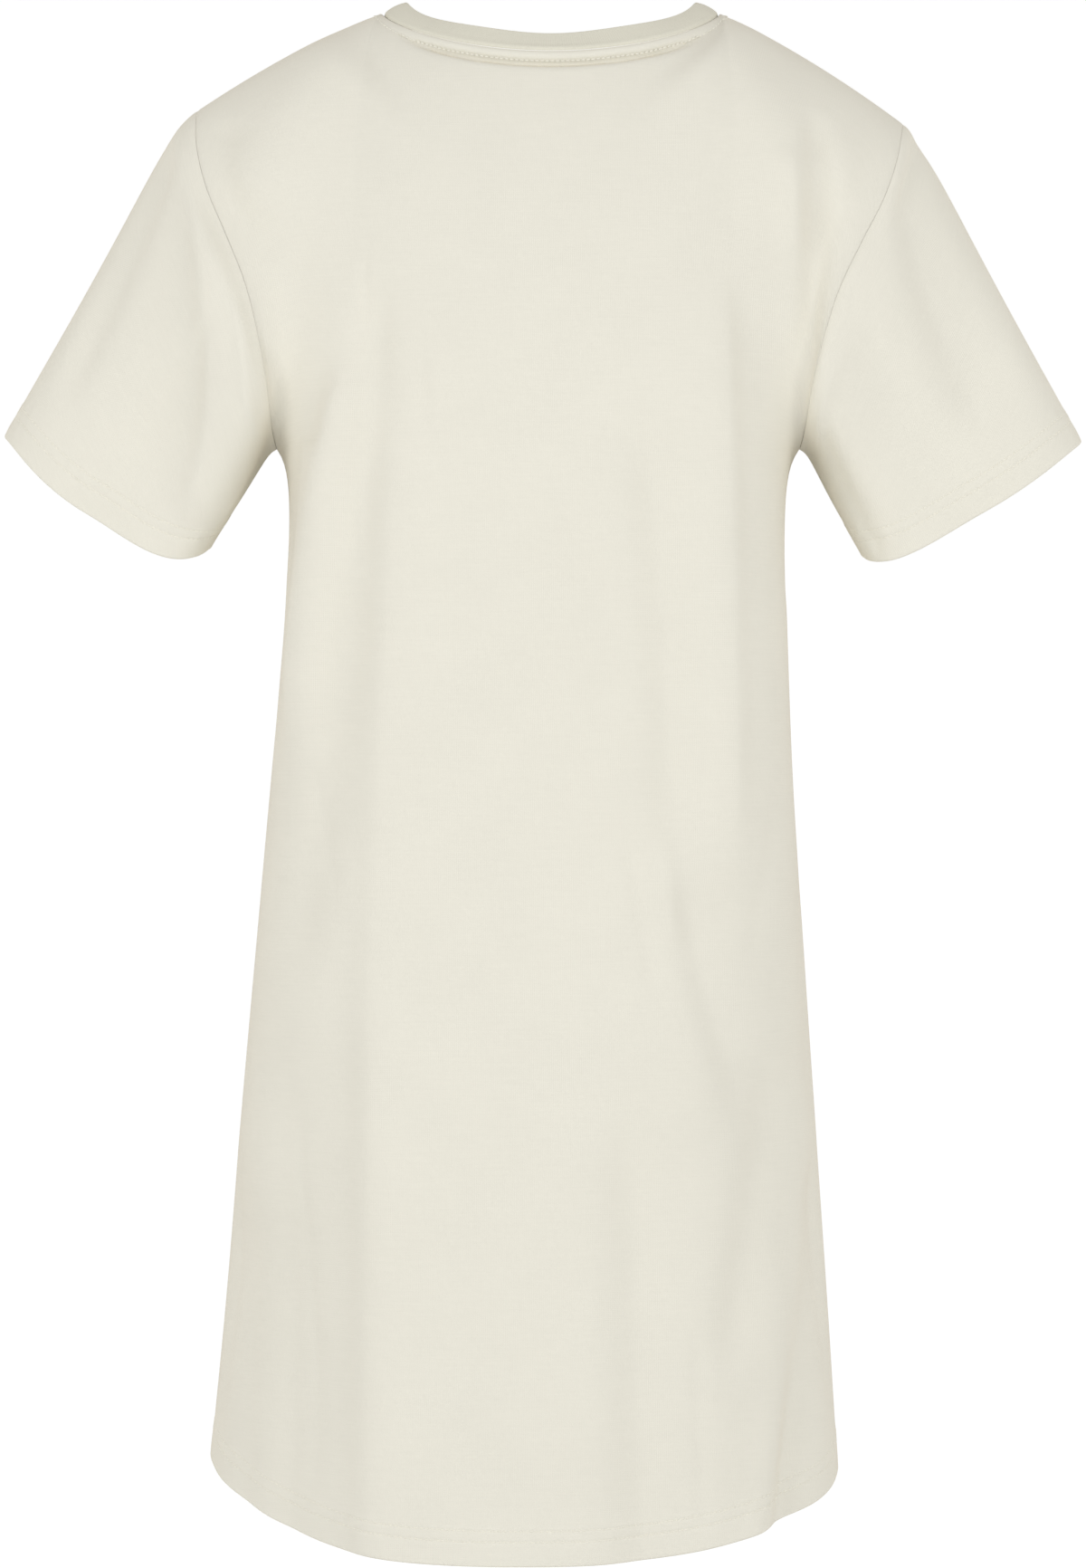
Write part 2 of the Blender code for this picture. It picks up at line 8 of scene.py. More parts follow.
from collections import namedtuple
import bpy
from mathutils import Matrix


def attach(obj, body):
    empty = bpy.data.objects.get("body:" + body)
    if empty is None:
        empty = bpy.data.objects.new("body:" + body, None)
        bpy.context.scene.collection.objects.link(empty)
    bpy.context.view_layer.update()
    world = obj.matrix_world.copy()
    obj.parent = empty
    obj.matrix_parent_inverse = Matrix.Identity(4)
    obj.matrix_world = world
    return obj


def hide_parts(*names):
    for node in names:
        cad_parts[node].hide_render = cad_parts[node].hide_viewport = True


bl_info = {
    "name": "T-shirt dress",
    "version": (1, 0, 0),
    "blender": (4, 5, 0),
    "location": "3D View > Sidebar > Dress",
    "description": "A cream jersey t-shirt dress with a rib neck and twin-needle hems",
    "category": "Object",
}

import bpy
import numpy as np
from mathutils import Vector

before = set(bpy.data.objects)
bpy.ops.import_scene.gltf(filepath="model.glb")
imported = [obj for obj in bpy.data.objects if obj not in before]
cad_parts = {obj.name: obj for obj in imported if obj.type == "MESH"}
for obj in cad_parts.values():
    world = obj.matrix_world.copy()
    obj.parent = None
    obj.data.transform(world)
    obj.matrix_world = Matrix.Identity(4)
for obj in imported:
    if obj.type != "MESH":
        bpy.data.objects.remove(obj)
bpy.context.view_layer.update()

MM = 0.001
UP = np.array([0.0, 0.0, 1.0])

# Seams: the gaps between the pieces, and how far the cloth rolls down into a seam
SEAM_GAP = 0.06
NECK_GAP = 0.2
ARMHOLE_GAP = 0.09
SEAM_ROLL = 0.28
NECK_ROLL = 0.95
SEAM_ROLL_WIDTH = 1.0

# The doubled cloth of hem and cuffs, up from the folded edge
HEM_WALL_DEPTH = 19.6
HEM_WALL_FADE = 1.5
HEM_RIM_STEPS = 4

# The neck rib. ROWS and the places that end in END are shares of its width, and its sides are the parts
# over the shoulders.
RIB_WALL = 2.2
RIB_BASE_WALL = 1.2
RIB_WIDTH = 15.5
RIB_LEAN = 0.45
RIB_SIDE_RISE = 0.46
RIB_BEND_END = 0.33
RIB_TURN_END = 0.2
RIB_WALL_END = 0.15
RIB_BASE_BEVEL = 0.5
RIB_BEVEL_END = 0.05
RIB_ROWS = np.concatenate([[0.0, 0.03, 0.06, 0.1, 0.15], np.linspace(0.2, 0.88, 15)])
RIB_EDGE_TURNS = np.radians(np.arange(0.0, 80.0, 15.0))
RIB_ROUND_STEPS = 360
RING_SOFTNESS = 4
SHOULDER_SLOPE = 28.0

# Levels and widths of the body, and the powers that shape its curves
ARMPIT_Z = -250.0
HEM_SIDE_Z = -831.0
HEM_DROP = 41.0
HEM_ROUNDNESS = 1.14
HEM_LEFT_RISE = 6.0
NECK_HALF_WIDTH = 96.5
SHOULDER_HALF_WIDTH = 202.5
SHOULDER_ROUNDING = 4.0
SHOULDER_TIP_Z = {"left": -55.5, "right": -63.5}
UNDERARM_FLARE = 8.0
UNDERARM_FLARE_HEIGHT = 11.0
TORSO_ROUNDNESS = 0.80
TOP_ROUNDNESS = 0.60
TOP_SPREAD = 52.0
NECK_COLUMN = 0.5
ARMHOLE_ROUNDNESS = 16.0
INNER_ROUNDNESS = 4.0
INNER_SPREAD = 2.5
ARMHOLE_GATHER = 1.6
COLUMN_EASE = 1.5
EDGE_ONLY = 6
EDGE_PULL = 3

# Cross-sections of the body, from the armpits down to below the hem
Section = namedtuple("Section", "z centre half_width back_depth front_depth roundness")
SECTIONS = (
    Section(-250.0, 7.5, 142.0, 103.0, 110.0, 0.60),
    Section(-304.0, 8.3, 142.0, 103.0, 112.0, 0.60),
    Section(-356.0, 8.6, 143.8, 101.0, 112.0, 0.62),
    Section(-440.0, 11.0, 149.4, 100.0, 111.0, 0.66),
    Section(-540.0, 12.2, 157.3, 110.0, 116.0, 0.74),
    Section(-640.0, 13.3, 165.2, 119.0, 122.0, 0.82),
    Section(-740.0, 14.1, 172.8, 123.0, 127.0, 0.88),
    Section(-880.0, 16.8, 184.0, 126.0, 132.0, 0.92),
)

# The armhole edge of the body, from the armpit up to the shoulder tip
Armhole = namedtuple("Armhole", "z half_width")
ARMHOLE = (
    Armhole(-250.0, 150.0), Armhole(-225.0, 152.0), Armhole(-190.0, 158.5), Armhole(-160.0, 167.0),
    Armhole(-130.0, 180.0), Armhole(-105.0, 191.5), Armhole(-80.0, 199.0), Armhole(-55.0, 202.5),
)

# The body panels. facing is the sign of Y, and the last four are the steps of the grid.
Panel = namedtuple("Panel", (
    "facing neck_reach neck_drop neck_curve top_depth scoop top_fade "
    "side_steps neck_steps low_steps up_steps"))
BACK = Panel(1.0, 58.0, 28.5, 1.4, 96.0, 0.0, 4.67, 42, 92, 122, 66)
FRONT = Panel(-1.0, 84.0, 92.0, 1.25, 104.0, 6.0, 4.0, 36, 78, 104, 56)

# Folds. Each runs through three points and is a ridge where height is above 0, a trough where below.
# width_left and width_right are how far it spreads to the wearer's left and right.
Fold = namedtuple("Fold", "name x1 z1 x2 z2 x3 z3 width_left width_right height")
BACK_FOLDS = (
    Fold("left plane edge", 84, -230, 97, -560, 106, -1040, 13, 30, 4.0),
    Fold("left hem step", 117, -520, 116, -760, 114, -1060, 22, 11, -2.5),
    Fold("left hem side", 150, -560, 150, -760, 152, -1060, 14, 34, -6.0),
    Fold("left hem corner", 172, -640, 177, -850, 180, -1100, 14, 50, -10.0),
    Fold("left side ridge", 112, -200, 131, -300, 148, -450, 9, 15, 7.0),
    Fold("left upper trough", 98, -150, 101, -230, 112, -330, 12, 12, -4.0),
    Fold("left long trough", 106, -280, 126, -434, 152, -570, 14, 16, -4.5),
    Fold("right plane edge", -94, -150, -98, -290, -104, -520, 28, 9, 5.0),
    Fold("right long trough", -52, -220, -66, -360, -70, -500, 15, 24, -5.5),
    Fold("right trough to the hip", -76, -480, -90, -560, -122, -640, 12, 56, -5.0),
    Fold("right lower diagonal", -128, -600, -120, -670, -98, -790, 13, 12, -4.5),
    Fold("right hem side", -130, -580, -136, -760, -134, -1060, 46, 14, -7.0),
    Fold("right side fold", -154, -640, -150, -750, -126, -920, 8, 12, -6.0),
    Fold("right side ridge", -136, -700, -130, -790, -110, -920, 10, 8, 2.0),
    Fold("centre hem trough", -48, -600, -53, -790, -58, -1060, 20, 50, -9.0),
    Fold("left shoulder edge", 104, -22, 146, -66, 184, -130, 24, 40, 6.0),
    Fold("right shoulder edge", -78, -20, -116, -62, -166, -126, 36, 30, 8.0),
    Fold("left shoulder hollow", 186, -60, 190, -98, 176, -150, 12, 16, -4.0),
    Fold("right armhole trough", -146, -60, -149, -130, -145, -236, 8, 10, -6.0),
    Fold("right shoulder ridge", -128, -84, -134, -110, -140, -150, 9, 7, 2.5),
)
BACK_CREASES = (
    Fold("right hip crease", -42, -466, -50, -516, -60, -566, 5, 5, -1.2),
    Fold("short crease on the long trough", 104, -146, 105, -165, 103, -186, 3, 3, -0.8),
    Fold("short crease inside it", 73, -196, 72, -223, 70, -252, 3, 4, -0.9),
    Fold("left underarm crease", 149, -258, 148, -295, 144, -332, 4, 4, -0.7),
    Fold("left underarm ridge", 136, -244, 138, -300, 145, -430, 6, 11, 2.5),
    Fold("left side streak", 146, -600, 143, -690, 137, -784, 4, 4, -0.8),
    Fold("left waist crease", 136, -430, 128, -470, 118, -520, 5, 5, -0.7),
    Fold("packing crease", 92, -606, 4, -609, -84, -610, 2, 2, -0.3),
    Fold("right wedge", -62, -470, -65, -500, -70, -535, 5, 7, 1.4),
    Fold("right underarm crease", -141, -262, -138, -300, -137, -345, 4, 4, -1.1),
    Fold("right waist crease", -128, -440, -122, -490, -112, -545, 5, 6, -0.8),
    Fold("centre soft line", 14, -620, 16, -720, 18, -830, 8, 8, -0.8),
    Fold("left soft line", 56, -640, 58, -740, 56, -860, 7, 9, 0.7),
    Fold("right hem line", -84, -740, -85, -800, -88, -870, 5, 6, -0.9),
    Fold("left hem line", 136, -730, 137, -790, 138, -850, 5, 6, -0.9),
    Fold("left armhole drag", 172, -182, 160, -205, 148, -238, 6, 6, -1.2),
    Fold("right armhole drag", -158, -182, -150, -206, -140, -238, 6, 6, -1.2),
)
FRONT_FOLDS = (
    Fold("left armhole drag", 132, -170, 112, -280, 116, -420, 14, 14, -5.0),
    Fold("left hem fold", 104, -520, 106, -700, 108, -900, 14, 10, -5.0),
    Fold("left hem ridge", 82, -560, 82, -720, 84, -900, 12, 12, 3.0),
    Fold("centre trough", 18, -420, 14, -600, 10, -900, 18, 14, -4.0),
    Fold("centre ridge", -14, -480, -16, -640, -20, -900, 14, 16, 3.0),
    Fold("right long trough", -66, -220, -72, -380, -96, -560, 16, 14, -5.5),
    Fold("right armhole drag", -136, -180, -122, -270, -126, -380, 12, 12, -4.5),
    Fold("right hem fold", -108, -560, -104, -720, -98, -900, 13, 13, -5.0),
)
FRONT_CREASES = (
    Fold("left underarm crease", 148, -260, 145, -298, 140, -340, 4, 4, -1.3),
    Fold("right underarm crease", -143, -262, -140, -305, -133, -352, 4, 5, -1.2),
    Fold("left chest line", 92, -196, 84, -240, 82, -300, 6, 7, -1.1),
    Fold("right chest line", -98, -190, -92, -236, -88, -290, 7, 6, -1.0),
    Fold("left waist crease", 130, -420, 122, -470, 112, -520, 5, 6, -0.8),
    Fold("right waist crease", -134, -430, -124, -480, -112, -540, 6, 5, -0.9),
    Fold("left soft line", 48, -600, 50, -710, 48, -850, 8, 8, 0.8),
    Fold("right soft line", -58, -620, -60, -730, -58, -860, 8, 8, -0.9),
    Fold("packing crease", 84, -604, 0, -606, -86, -605, 2, 2, -0.3),
    Fold("right hem line", -134, -720, -136, -790, -138, -850, 5, 5, -0.9),
)
FOLD_STEPS = 33
FOLD_FADE = 0.22
FOLD_EDGE_FADE = 0.12
CREASE_EDGE_FADE = 0.035

# The sleeves. The cuff is an oval: its outer and inner ends are given, and the rest is worked out.
Sleeve = namedtuple("Sleeve", (
    "side outer_x outer_z inner_x inner_z centre_y cuff_depth lean back_drop drop_at top_slope"))
SLEEVE_LEFT = Sleeve(1.0, 313.5, -240.0, 195.0, -305.5, -16.0, 46.0, 6.0, 15.0, 112.0, 33.0)
SLEEVE_RIGHT = Sleeve(-1.0, -304.0, -243.0, -178.0, -310.5, -14.0, 46.0, 6.0, 8.0, 118.0, 40.0)
SLEEVE_START_PULL = 0.60
SLEEVE_START_FADE = 4
SLEEVE_END_PULL = 0.72
SLEEVE_UNDER_SLOPE = 62.0
SLEEVE_FILL = 0.50
SLEEVE_FILL_ROUNDNESS = 0.5
CUFF_ROUNDNESS = 0.65
CUFF_UNDER_BACK = 26.0
SLEEVE_ROUND_STEPS = 200
SLEEVE_BODY_STEPS = 66
SLEEVE_LEVELS = 161
SEAM_HOLD = 4.0

# Sleeve folds: around is millimetres from the top line, towards the back where above 0,
# and along is millimetres from the armhole.
SLEEVE_GIRTH = 380.0
SLEEVE_LENGTH = 205.0
LEFT_SLEEVE_FOLDS = (
    Fold("outer trough", 22, 20, 38, 85, 62, 175, 12, 14, -4.0),
    Fold("middle step", 36, 4, 110, 75, 138, 180, 36, 13, 7.0),
    Fold("short pleat", 96, 14, 118, 30, 142, 60, 9, 9, 2.0),
    Fold("underarm edge", 156, 10, 162, 100, 164, 200, 12, 16, 1.5),
    Fold("front trough", -70, 40, -74, 120, -70, 230, 14, 14, -4.0),
)
RIGHT_SLEEVE_FOLDS = (
    Fold("outer trough", 20, -20, 58, 75, 84, 180, 15, 36, -7.0),
    Fold("underarm hollow", 140, 30, 154, 110, 158, 230, 12, 26, -3.0),
    Fold("front trough", -66, 40, -72, 120, -74, 230, 14, 14, -4.0),
)
SLEEVE_FADE = 0.12

# Rows of the grids, in millimetres from an edge: close together at seams and stitch lines. SIDE_STEPS and
# SIDE_BAND are places across a panel, and COLUMN_LENGTH is the way from the armpits up to the neck.
HEM_RISES = np.array([
    0.0, 0.7, 1.8, 3.8, 6.2, 8.6, 10.4, 11.3, 11.9, 12.5, 13.1, 13.7, 14.7,
    15.8, 16.8, 17.4, 18.0, 18.6, 19.2, 19.8, 20.6, 22.0, 24.0,
])
SEAM_STEPS = np.array([0.0, 0.5, 1.0, 1.8, 3.0, 4.6, 7.0])
NECK_STEPS = np.array([
    0.0, 0.5, 1.0, 1.8, 3.0, 4.2, 5.2, 5.9, 6.5, 7.1, 7.8, 8.8, 10.0, 11.5, 13.5, 16.0, 19.0,
])
SIDE_STEPS = np.array([0.0, 0.0013, 0.0029, 0.0057, 0.0104, 0.017, 0.0277])
SIDE_BAND = 0.04
COLUMN_LENGTH = 230.0
SHARP_ANGLE = 60.0

# Stitch lines, up from the folded edge. What is proud or puckered fades over a length from a start.
STITCH_RISES = (12.5, 18.6)
GROOVE_DEPTH = 0.35
GROOVE_WIDTH = 0.8
HEM_PROUD = 0.35
PROUD_START = 19.2
PROUD_FADE = 2.0
PUCKER = 0.12
PUCKER_RISE = 4.0
PUCKER_START = 20.0
PUCKER_FADE = 8.0
SWELL_LENGTH = 83.0
SWELL_SHARE = 0.4

# The two slanted ripples that add up to a pucker
Ripple = namedtuple("Ripple", "share length slant")
RIPPLES = (Ripple(1.0, 9.5, 0.5), Ripple(0.7, 14.3, -0.4))

# A stitch: rings of a thread from one end to the other, as shares of its half length and width
StitchRing = namedtuple("StitchRing", "place thickness lift")
STITCH_RINGS = (
    StitchRing(-1.0, 0.45, -0.9),
    StitchRing(-0.72, 0.9, -0.1),
    StitchRing(0.0, 1.0, 0.25),
    StitchRing(0.72, 0.9, -0.1),
    StitchRing(1.0, 0.45, -0.9),
)
STITCH_SIDES = 6
STITCH_CAPS = ((3, 2, 1, 0), (5, 4, 3, 0), (24, 25, 26, 27), (24, 27, 28, 29))
THREAD_FLATNESS = 0.8
THREAD_LIFT = 0.1
NECK_THREAD = 1.4

# The trough below the back neck seam: its depth, place and width, and how far it runs to each side
NECK_TROUGH = 4.6
NECK_TROUGH_AT = 7.7
NECK_TROUGH_WIDTH = 2.4
NECK_TROUGH_REACH = 60.0
NECK_TROUGH_FADE = 35.0

# The studio: four soft boxes round the dress, in metres and watts, the paper sweep in millimetres
SoftBox = namedtuple("SoftBox", "name x y z width height power")
SOFT_BOXES = (
    SoftBox("back_left_box", 1.60, 1.65, 0.05, 1.2, 1.1, 17.0),
    SoftBox("back_right_box", -1.60, 1.65, 0.05, 1.2, 1.1, 16.6),
    SoftBox("front_left_box", 2.1, -2.1, 0.50, 1.4, 1.4, 6.0),
    SoftBox("front_right_box", -2.1, -2.1, 0.50, 1.4, 1.4, 6.0),
)
LIGHT_TARGET = (0.0, 0.0, -0.28)
WORLD_LIGHT = 0.62
BACKDROP_GLOW = 0.44
CAMERA_PLACE = (0.00468, 3.0, -0.442)
CAMERA_LENS = 119.92
FLOOR_Z = -1400.0
FLOOR_RADII = (0.0, 6000.0)
WALL_START = 9000.0
WALL_CURVE = 5000.0
SWEEP_SIDES = 96
SWEEP_CURVE_STEPS = 13

# The knit: how far a V climbs over a column, the shares of the parts of its bump, and the scales of the
# yarn's streaks and clouds. The fuzz's sheen is tinted warmer than the cloth: painted warm light, the warm
# bounce in the underarm shade and along the edges.
KNIT_CLIMB = 1.3
KNIT_GROOVE = 1.6
KNIT_LOOP = 0.35
KNIT_SLUB = 0.8
STREAK_SCALE = (42.0, 950.0, 1.0)
CLOUD_SCALE = 22.0
FUZZ_SHEEN_PAINTED_WARM_LIGHT = "FFE2BC"


def ease(t):
    """0 to 1 with flat ends: three squares less two cubes."""
    t = np.clip(t, 0.0, 1.0)
    return t * t * (3.0 - 2.0 * t)


def bell(distance, width):
    """A bell curve: 1 at distance 0, and a third of it one width away."""
    return np.exp(-(distance / width) ** 2)


def signed_power(value, power):
    """A power that keeps the sign."""
    return np.sign(value) * np.abs(value) ** power


def unit(vectors):
    """Vectors scaled to length 1."""
    return vectors / np.maximum(np.linalg.norm(vectors, axis=-1, keepdims=True), 1e-9)


def read_line(at, run, values):
    """Points or vectors read at distances along a line, straight from one to the next."""
    return np.stack([np.interp(at, run, values[:, axis]) for axis in range(3)], axis=-1)


def grid_of(*parts):
    """A grid of points, or of flat places, from their coordinates as rows, columns or grids."""
    return np.stack(np.broadcast_arrays(*parts), axis=-1)


def read_table(rows, column, at):
    """A column of a table whose first column is z, read at heights along a smooth cubic curve."""
    z = np.array([row.z for row in rows])
    value = np.array([getattr(row, column) for row in rows])
    if z[0] > z[-1]:
        z, value = z[::-1], value[::-1]
    slope = np.gradient(value, z)
    at = np.clip(at, z[0], z[-1])
    index = np.clip(np.searchsorted(z, at) - 1, 0, len(z) - 2)
    span = z[index + 1] - z[index]
    t = (at - z[index]) / span
    start = (1.0 - t) ** 2 * ((1.0 + 2.0 * t) * value[index] + t * span * slope[index])
    end = t * t * ((3.0 - 2.0 * t) * value[index + 1] + (t - 1.0) * span * slope[index + 1])
    return start + end


def fold_height(folds, x, z):
    """The height of all folds at flat positions: across the curved line through its three points each
    fold is a bell, and along that line it rises from 0 and falls back to 0."""
    total = 0.0
    spot = grid_of(x, z)
    t = np.linspace(0.0, 1.0, FOLD_STEPS)
    s = t[:, None]
    for fold in folds:
        first, second, third = np.array(fold[1:7], float).reshape(3, 2)
        middle = 2.0 * second - 0.5 * (first + third)
        line = (1.0 - s) ** 2 * first + 2.0 * s * (1.0 - s) * middle + s * s * third
        near = np.argmin((x[..., None] - line[:, 0]) ** 2 + (z[..., None] - line[:, 1]) ** 2, axis=-1)
        way = np.gradient(line, t, axis=0)[near]
        away = spot - line[near]
        ahead = np.sum(away * way, axis=-1) / np.sum(way * way, axis=-1)
        aside = away - ahead[..., None] * way
        width = np.where(aside[..., 0] > 0.0, fold.width_left, fold.width_right)
        along = t[near] + ahead
        fade = ease(along / FOLD_FADE) * ease((1.0 - along) / FOLD_FADE)
        total = total + fold.height * fade * np.exp(-np.sum(aside * aside, axis=-1) / width ** 2)
    return total


def top_line(panel, u):
    """The upper edge of a panel: the shoulder seams and, between them, the neck seam, half an oval."""
    inside = np.abs(u) <= NECK_COLUMN
    turn = np.clip(u / NECK_COLUMN, -1.0, 1.0) * np.pi / 2.0
    reach = np.where(inside, np.cos(turn), 0.0)
    out = np.clip((np.abs(u) - NECK_COLUMN) / (1.0 - NECK_COLUMN), 0.0, 1.0)
    shoulder_x = NECK_HALF_WIDTH + out * (SHOULDER_HALF_WIDTH - NECK_HALF_WIDTH)
    tip_z = np.where(u > 0.0, SHOULDER_TIP_Z["left"], SHOULDER_TIP_Z["right"])
    shoulder_z = out * tip_z + 4.0 * SHOULDER_ROUNDING * out * (1.0 - out)
    x = np.where(inside, NECK_HALF_WIDTH * np.sin(turn), np.sign(u) * shoulder_x)
    y = panel.neck_reach * reach
    z = np.where(inside, -panel.neck_drop * reach ** panel.neck_curve, shoulder_z)
    return x, y, z


def depth_column(panel):
    """The table column with this panel's depths."""
    return "back_depth" if panel.facing > 0 else "front_depth"


def lower_points(panel, u, rise, part):
    """Below the armpits each level is half a rounded oval: x follows the sine of the angle and y its
    cosine. rise is above the hem, and part is a part of the way on to the armpits."""
    angle = u * np.pi / 2.0
    drop = HEM_DROP * np.abs(np.cos(angle)) ** HEM_ROUNDNESS
    hem_z = HEM_SIDE_Z - drop + HEM_LEFT_RISE * np.maximum(np.sin(angle), 0.0) ** 2
    z = hem_z + rise + (ARMPIT_Z - hem_z - rise) * part
    half_width = read_table(SECTIONS, "half_width", z)
    depth = read_table(SECTIONS, depth_column(panel), z)
    centre = read_table(SECTIONS, "centre", z)
    flare = UNDERARM_FLARE * np.exp((z - ARMPIT_Z) / UNDERARM_FLARE_HEIGHT) * signed_power(u, EDGE_ONLY)
    x = centre + half_width * signed_power(np.sin(angle), TORSO_ROUNDNESS) + flare
    y = depth * np.abs(np.cos(angle)) ** read_table(SECTIONS, "roundness", z)
    return x, y, z


def armhole_pull(panel, part):
    """How much wider the armhole edge is than a plain column would be."""
    tip_z = top_line(panel, np.array([1.0]))[2]
    edge_z = ARMPIT_Z + (tip_z - ARMPIT_Z) * np.sin(part * np.pi / 2.0)
    armpit = SECTIONS[0].half_width + UNDERARM_FLARE
    plain = armpit + (SHOULDER_HALF_WIDTH - armpit) * part ** COLUMN_EASE
    edge = read_table(ARMHOLE, "half_width", edge_z) - panel.scoop * np.sin(part * np.pi)
    return edge / plain


def upper_points(panel, u, part):
    """Above the armpits each column bends over the shoulder like an arch: z follows the sine of the arch
    angle and y its cosine, and x moves out to the armhole's curve near the edges."""
    top_x, top_y, top_z = top_line(panel, u)
    start_x, start_y, start_z = lower_points(panel, u, 0.0, 1.0)
    centre = SECTIONS[0].centre
    roundness = INNER_ROUNDNESS + (ARMHOLE_ROUNDNESS - INNER_ROUNDNESS) * np.abs(u) ** EDGE_ONLY
    quick = 1.0 - (1.0 - part) ** roundness
    spread = ease(part) + (quick - ease(part)) * np.abs(u) ** INNER_SPREAD
    angle = u * np.radians(90.0 - (90.0 - TOP_SPREAD) * spread)
    armpit_depth = getattr(SECTIONS[0], depth_column(panel))
    depth = armpit_depth + (panel.top_depth - armpit_depth) * ease(part)
    depth = depth * np.abs(np.cos(angle)) ** TOP_ROUNDNESS
    top_reach = panel.top_depth * np.cos(u * np.radians(TOP_SPREAD)) ** TOP_ROUNDNESS
    end = np.arccos(np.clip(top_y / top_reach, 0.0, 1.0))
    arch = part * end
    z = start_z + (top_z - start_z) * np.sin(arch) / np.sin(end)
    y = depth * np.cos(arch)
    across = start_x - centre + (top_x - start_x + centre) * part ** COLUMN_EASE
    pull = (armhole_pull(panel, part) - 1.0) * np.abs(u) ** EDGE_PULL
    x = across * (1.0 + pull) + centre * (1.0 - part)
    return x, y, z


def grid_normals(points, closed=False):
    """Unit normals of a grid: the cross product of the steps to its neighbours across and along."""
    if closed:
        across = np.roll(points, -1, axis=1) - np.roll(points, 1, axis=1)
    else:
        across = np.gradient(points, axis=1)
    return unit(np.cross(across, np.gradient(points, axis=0)))


def run_along(points, axis):
    """The distance along a grid from its first row or column, the sum of the steps."""
    steps = np.linalg.norm(np.diff(points, axis=axis), axis=-1)
    first = np.zeros_like(np.take(steps, [0], axis=axis))
    return np.concatenate([first, np.cumsum(steps, axis=axis)], axis=axis)


def nearest(points, targets):
    """For each point, the index of the nearest target and the distance to it."""
    square = ((points[:, None, :] - targets[None, :, :]) ** 2).sum(-1)
    index = square.argmin(1)
    return index, np.sqrt(square[np.arange(len(points)), index])


def stitch_relief(rise, run):
    """The relief of a twin-stitched hem: a groove under each stitch line, the doubled cloth a little
    proud, and small slanted ripples between the folded edge and the upper line."""
    grooves = sum(bell(rise - line, GROOVE_WIDTH) for line in STITCH_RISES)
    proud = 1.0 - ease((rise - PROUD_START) / PROUD_FADE)
    wave = sum(r.share * np.sin(2.0 * np.pi * (run + r.slant * rise) / r.length) for r in RIPPLES)
    swell = 1.0 - SWELL_SHARE + SWELL_SHARE * np.sin(2.0 * np.pi * run / SWELL_LENGTH)
    window = ease(rise / PUCKER_RISE) * (1.0 - ease((rise - PUCKER_START) / PUCKER_FADE))
    return HEM_PROUD * proud - GROOVE_DEPTH * grooves + PUCKER * wave * swell * window


class Cloth:
    """A grid of cloth: its outer points with their relief, its inner points one wall further in, its
    normals, its flat places, and where its armpit row is."""

    def __init__(self, points, normals, rises, relief, flat, sizes, armpit=0):
        doubled = 1.0 - ease((rises - HEM_WALL_DEPTH) / HEM_WALL_FADE)
        walls = (sizes.jersey_wall + (sizes.hem_wall - sizes.jersey_wall) * doubled) / MM
        self.points = points
        self.normals = normals
        self.outer = points + normals * relief[..., None]
        self.inner = points - normals * walls[..., None]
        self.flat = grid_of(*flat)
        self.armpit = armpit


def panel_normals(panel, u, points, armpit):
    """Normals out of the body, turned square to the side and shoulder seams."""
    normals = grid_normals(points)
    if np.sum(normals[..., 1]) * panel.facing < 0.0:
        normals = -normals
    normals[:armpit + 1, 0, 1] = 0.0
    normals[:armpit + 1, -1, 1] = 0.0
    normals[-1, np.abs(u) >= NECK_COLUMN, 1] = 0.0
    return unit(normals)


def panel_columns(panel):
    """The places across a panel, from the right seam at -1 to the left seam at 1."""
    side = np.linspace(NECK_COLUMN, 1.0 - SIDE_BAND, panel.side_steps + 1)
    half = np.concatenate([side, (1.0 - SIDE_STEPS)[::-1]])
    neck = np.linspace(-NECK_COLUMN, NECK_COLUMN, panel.neck_steps + 1)
    return np.concatenate([-half[::-1], neck[1:-1], half])


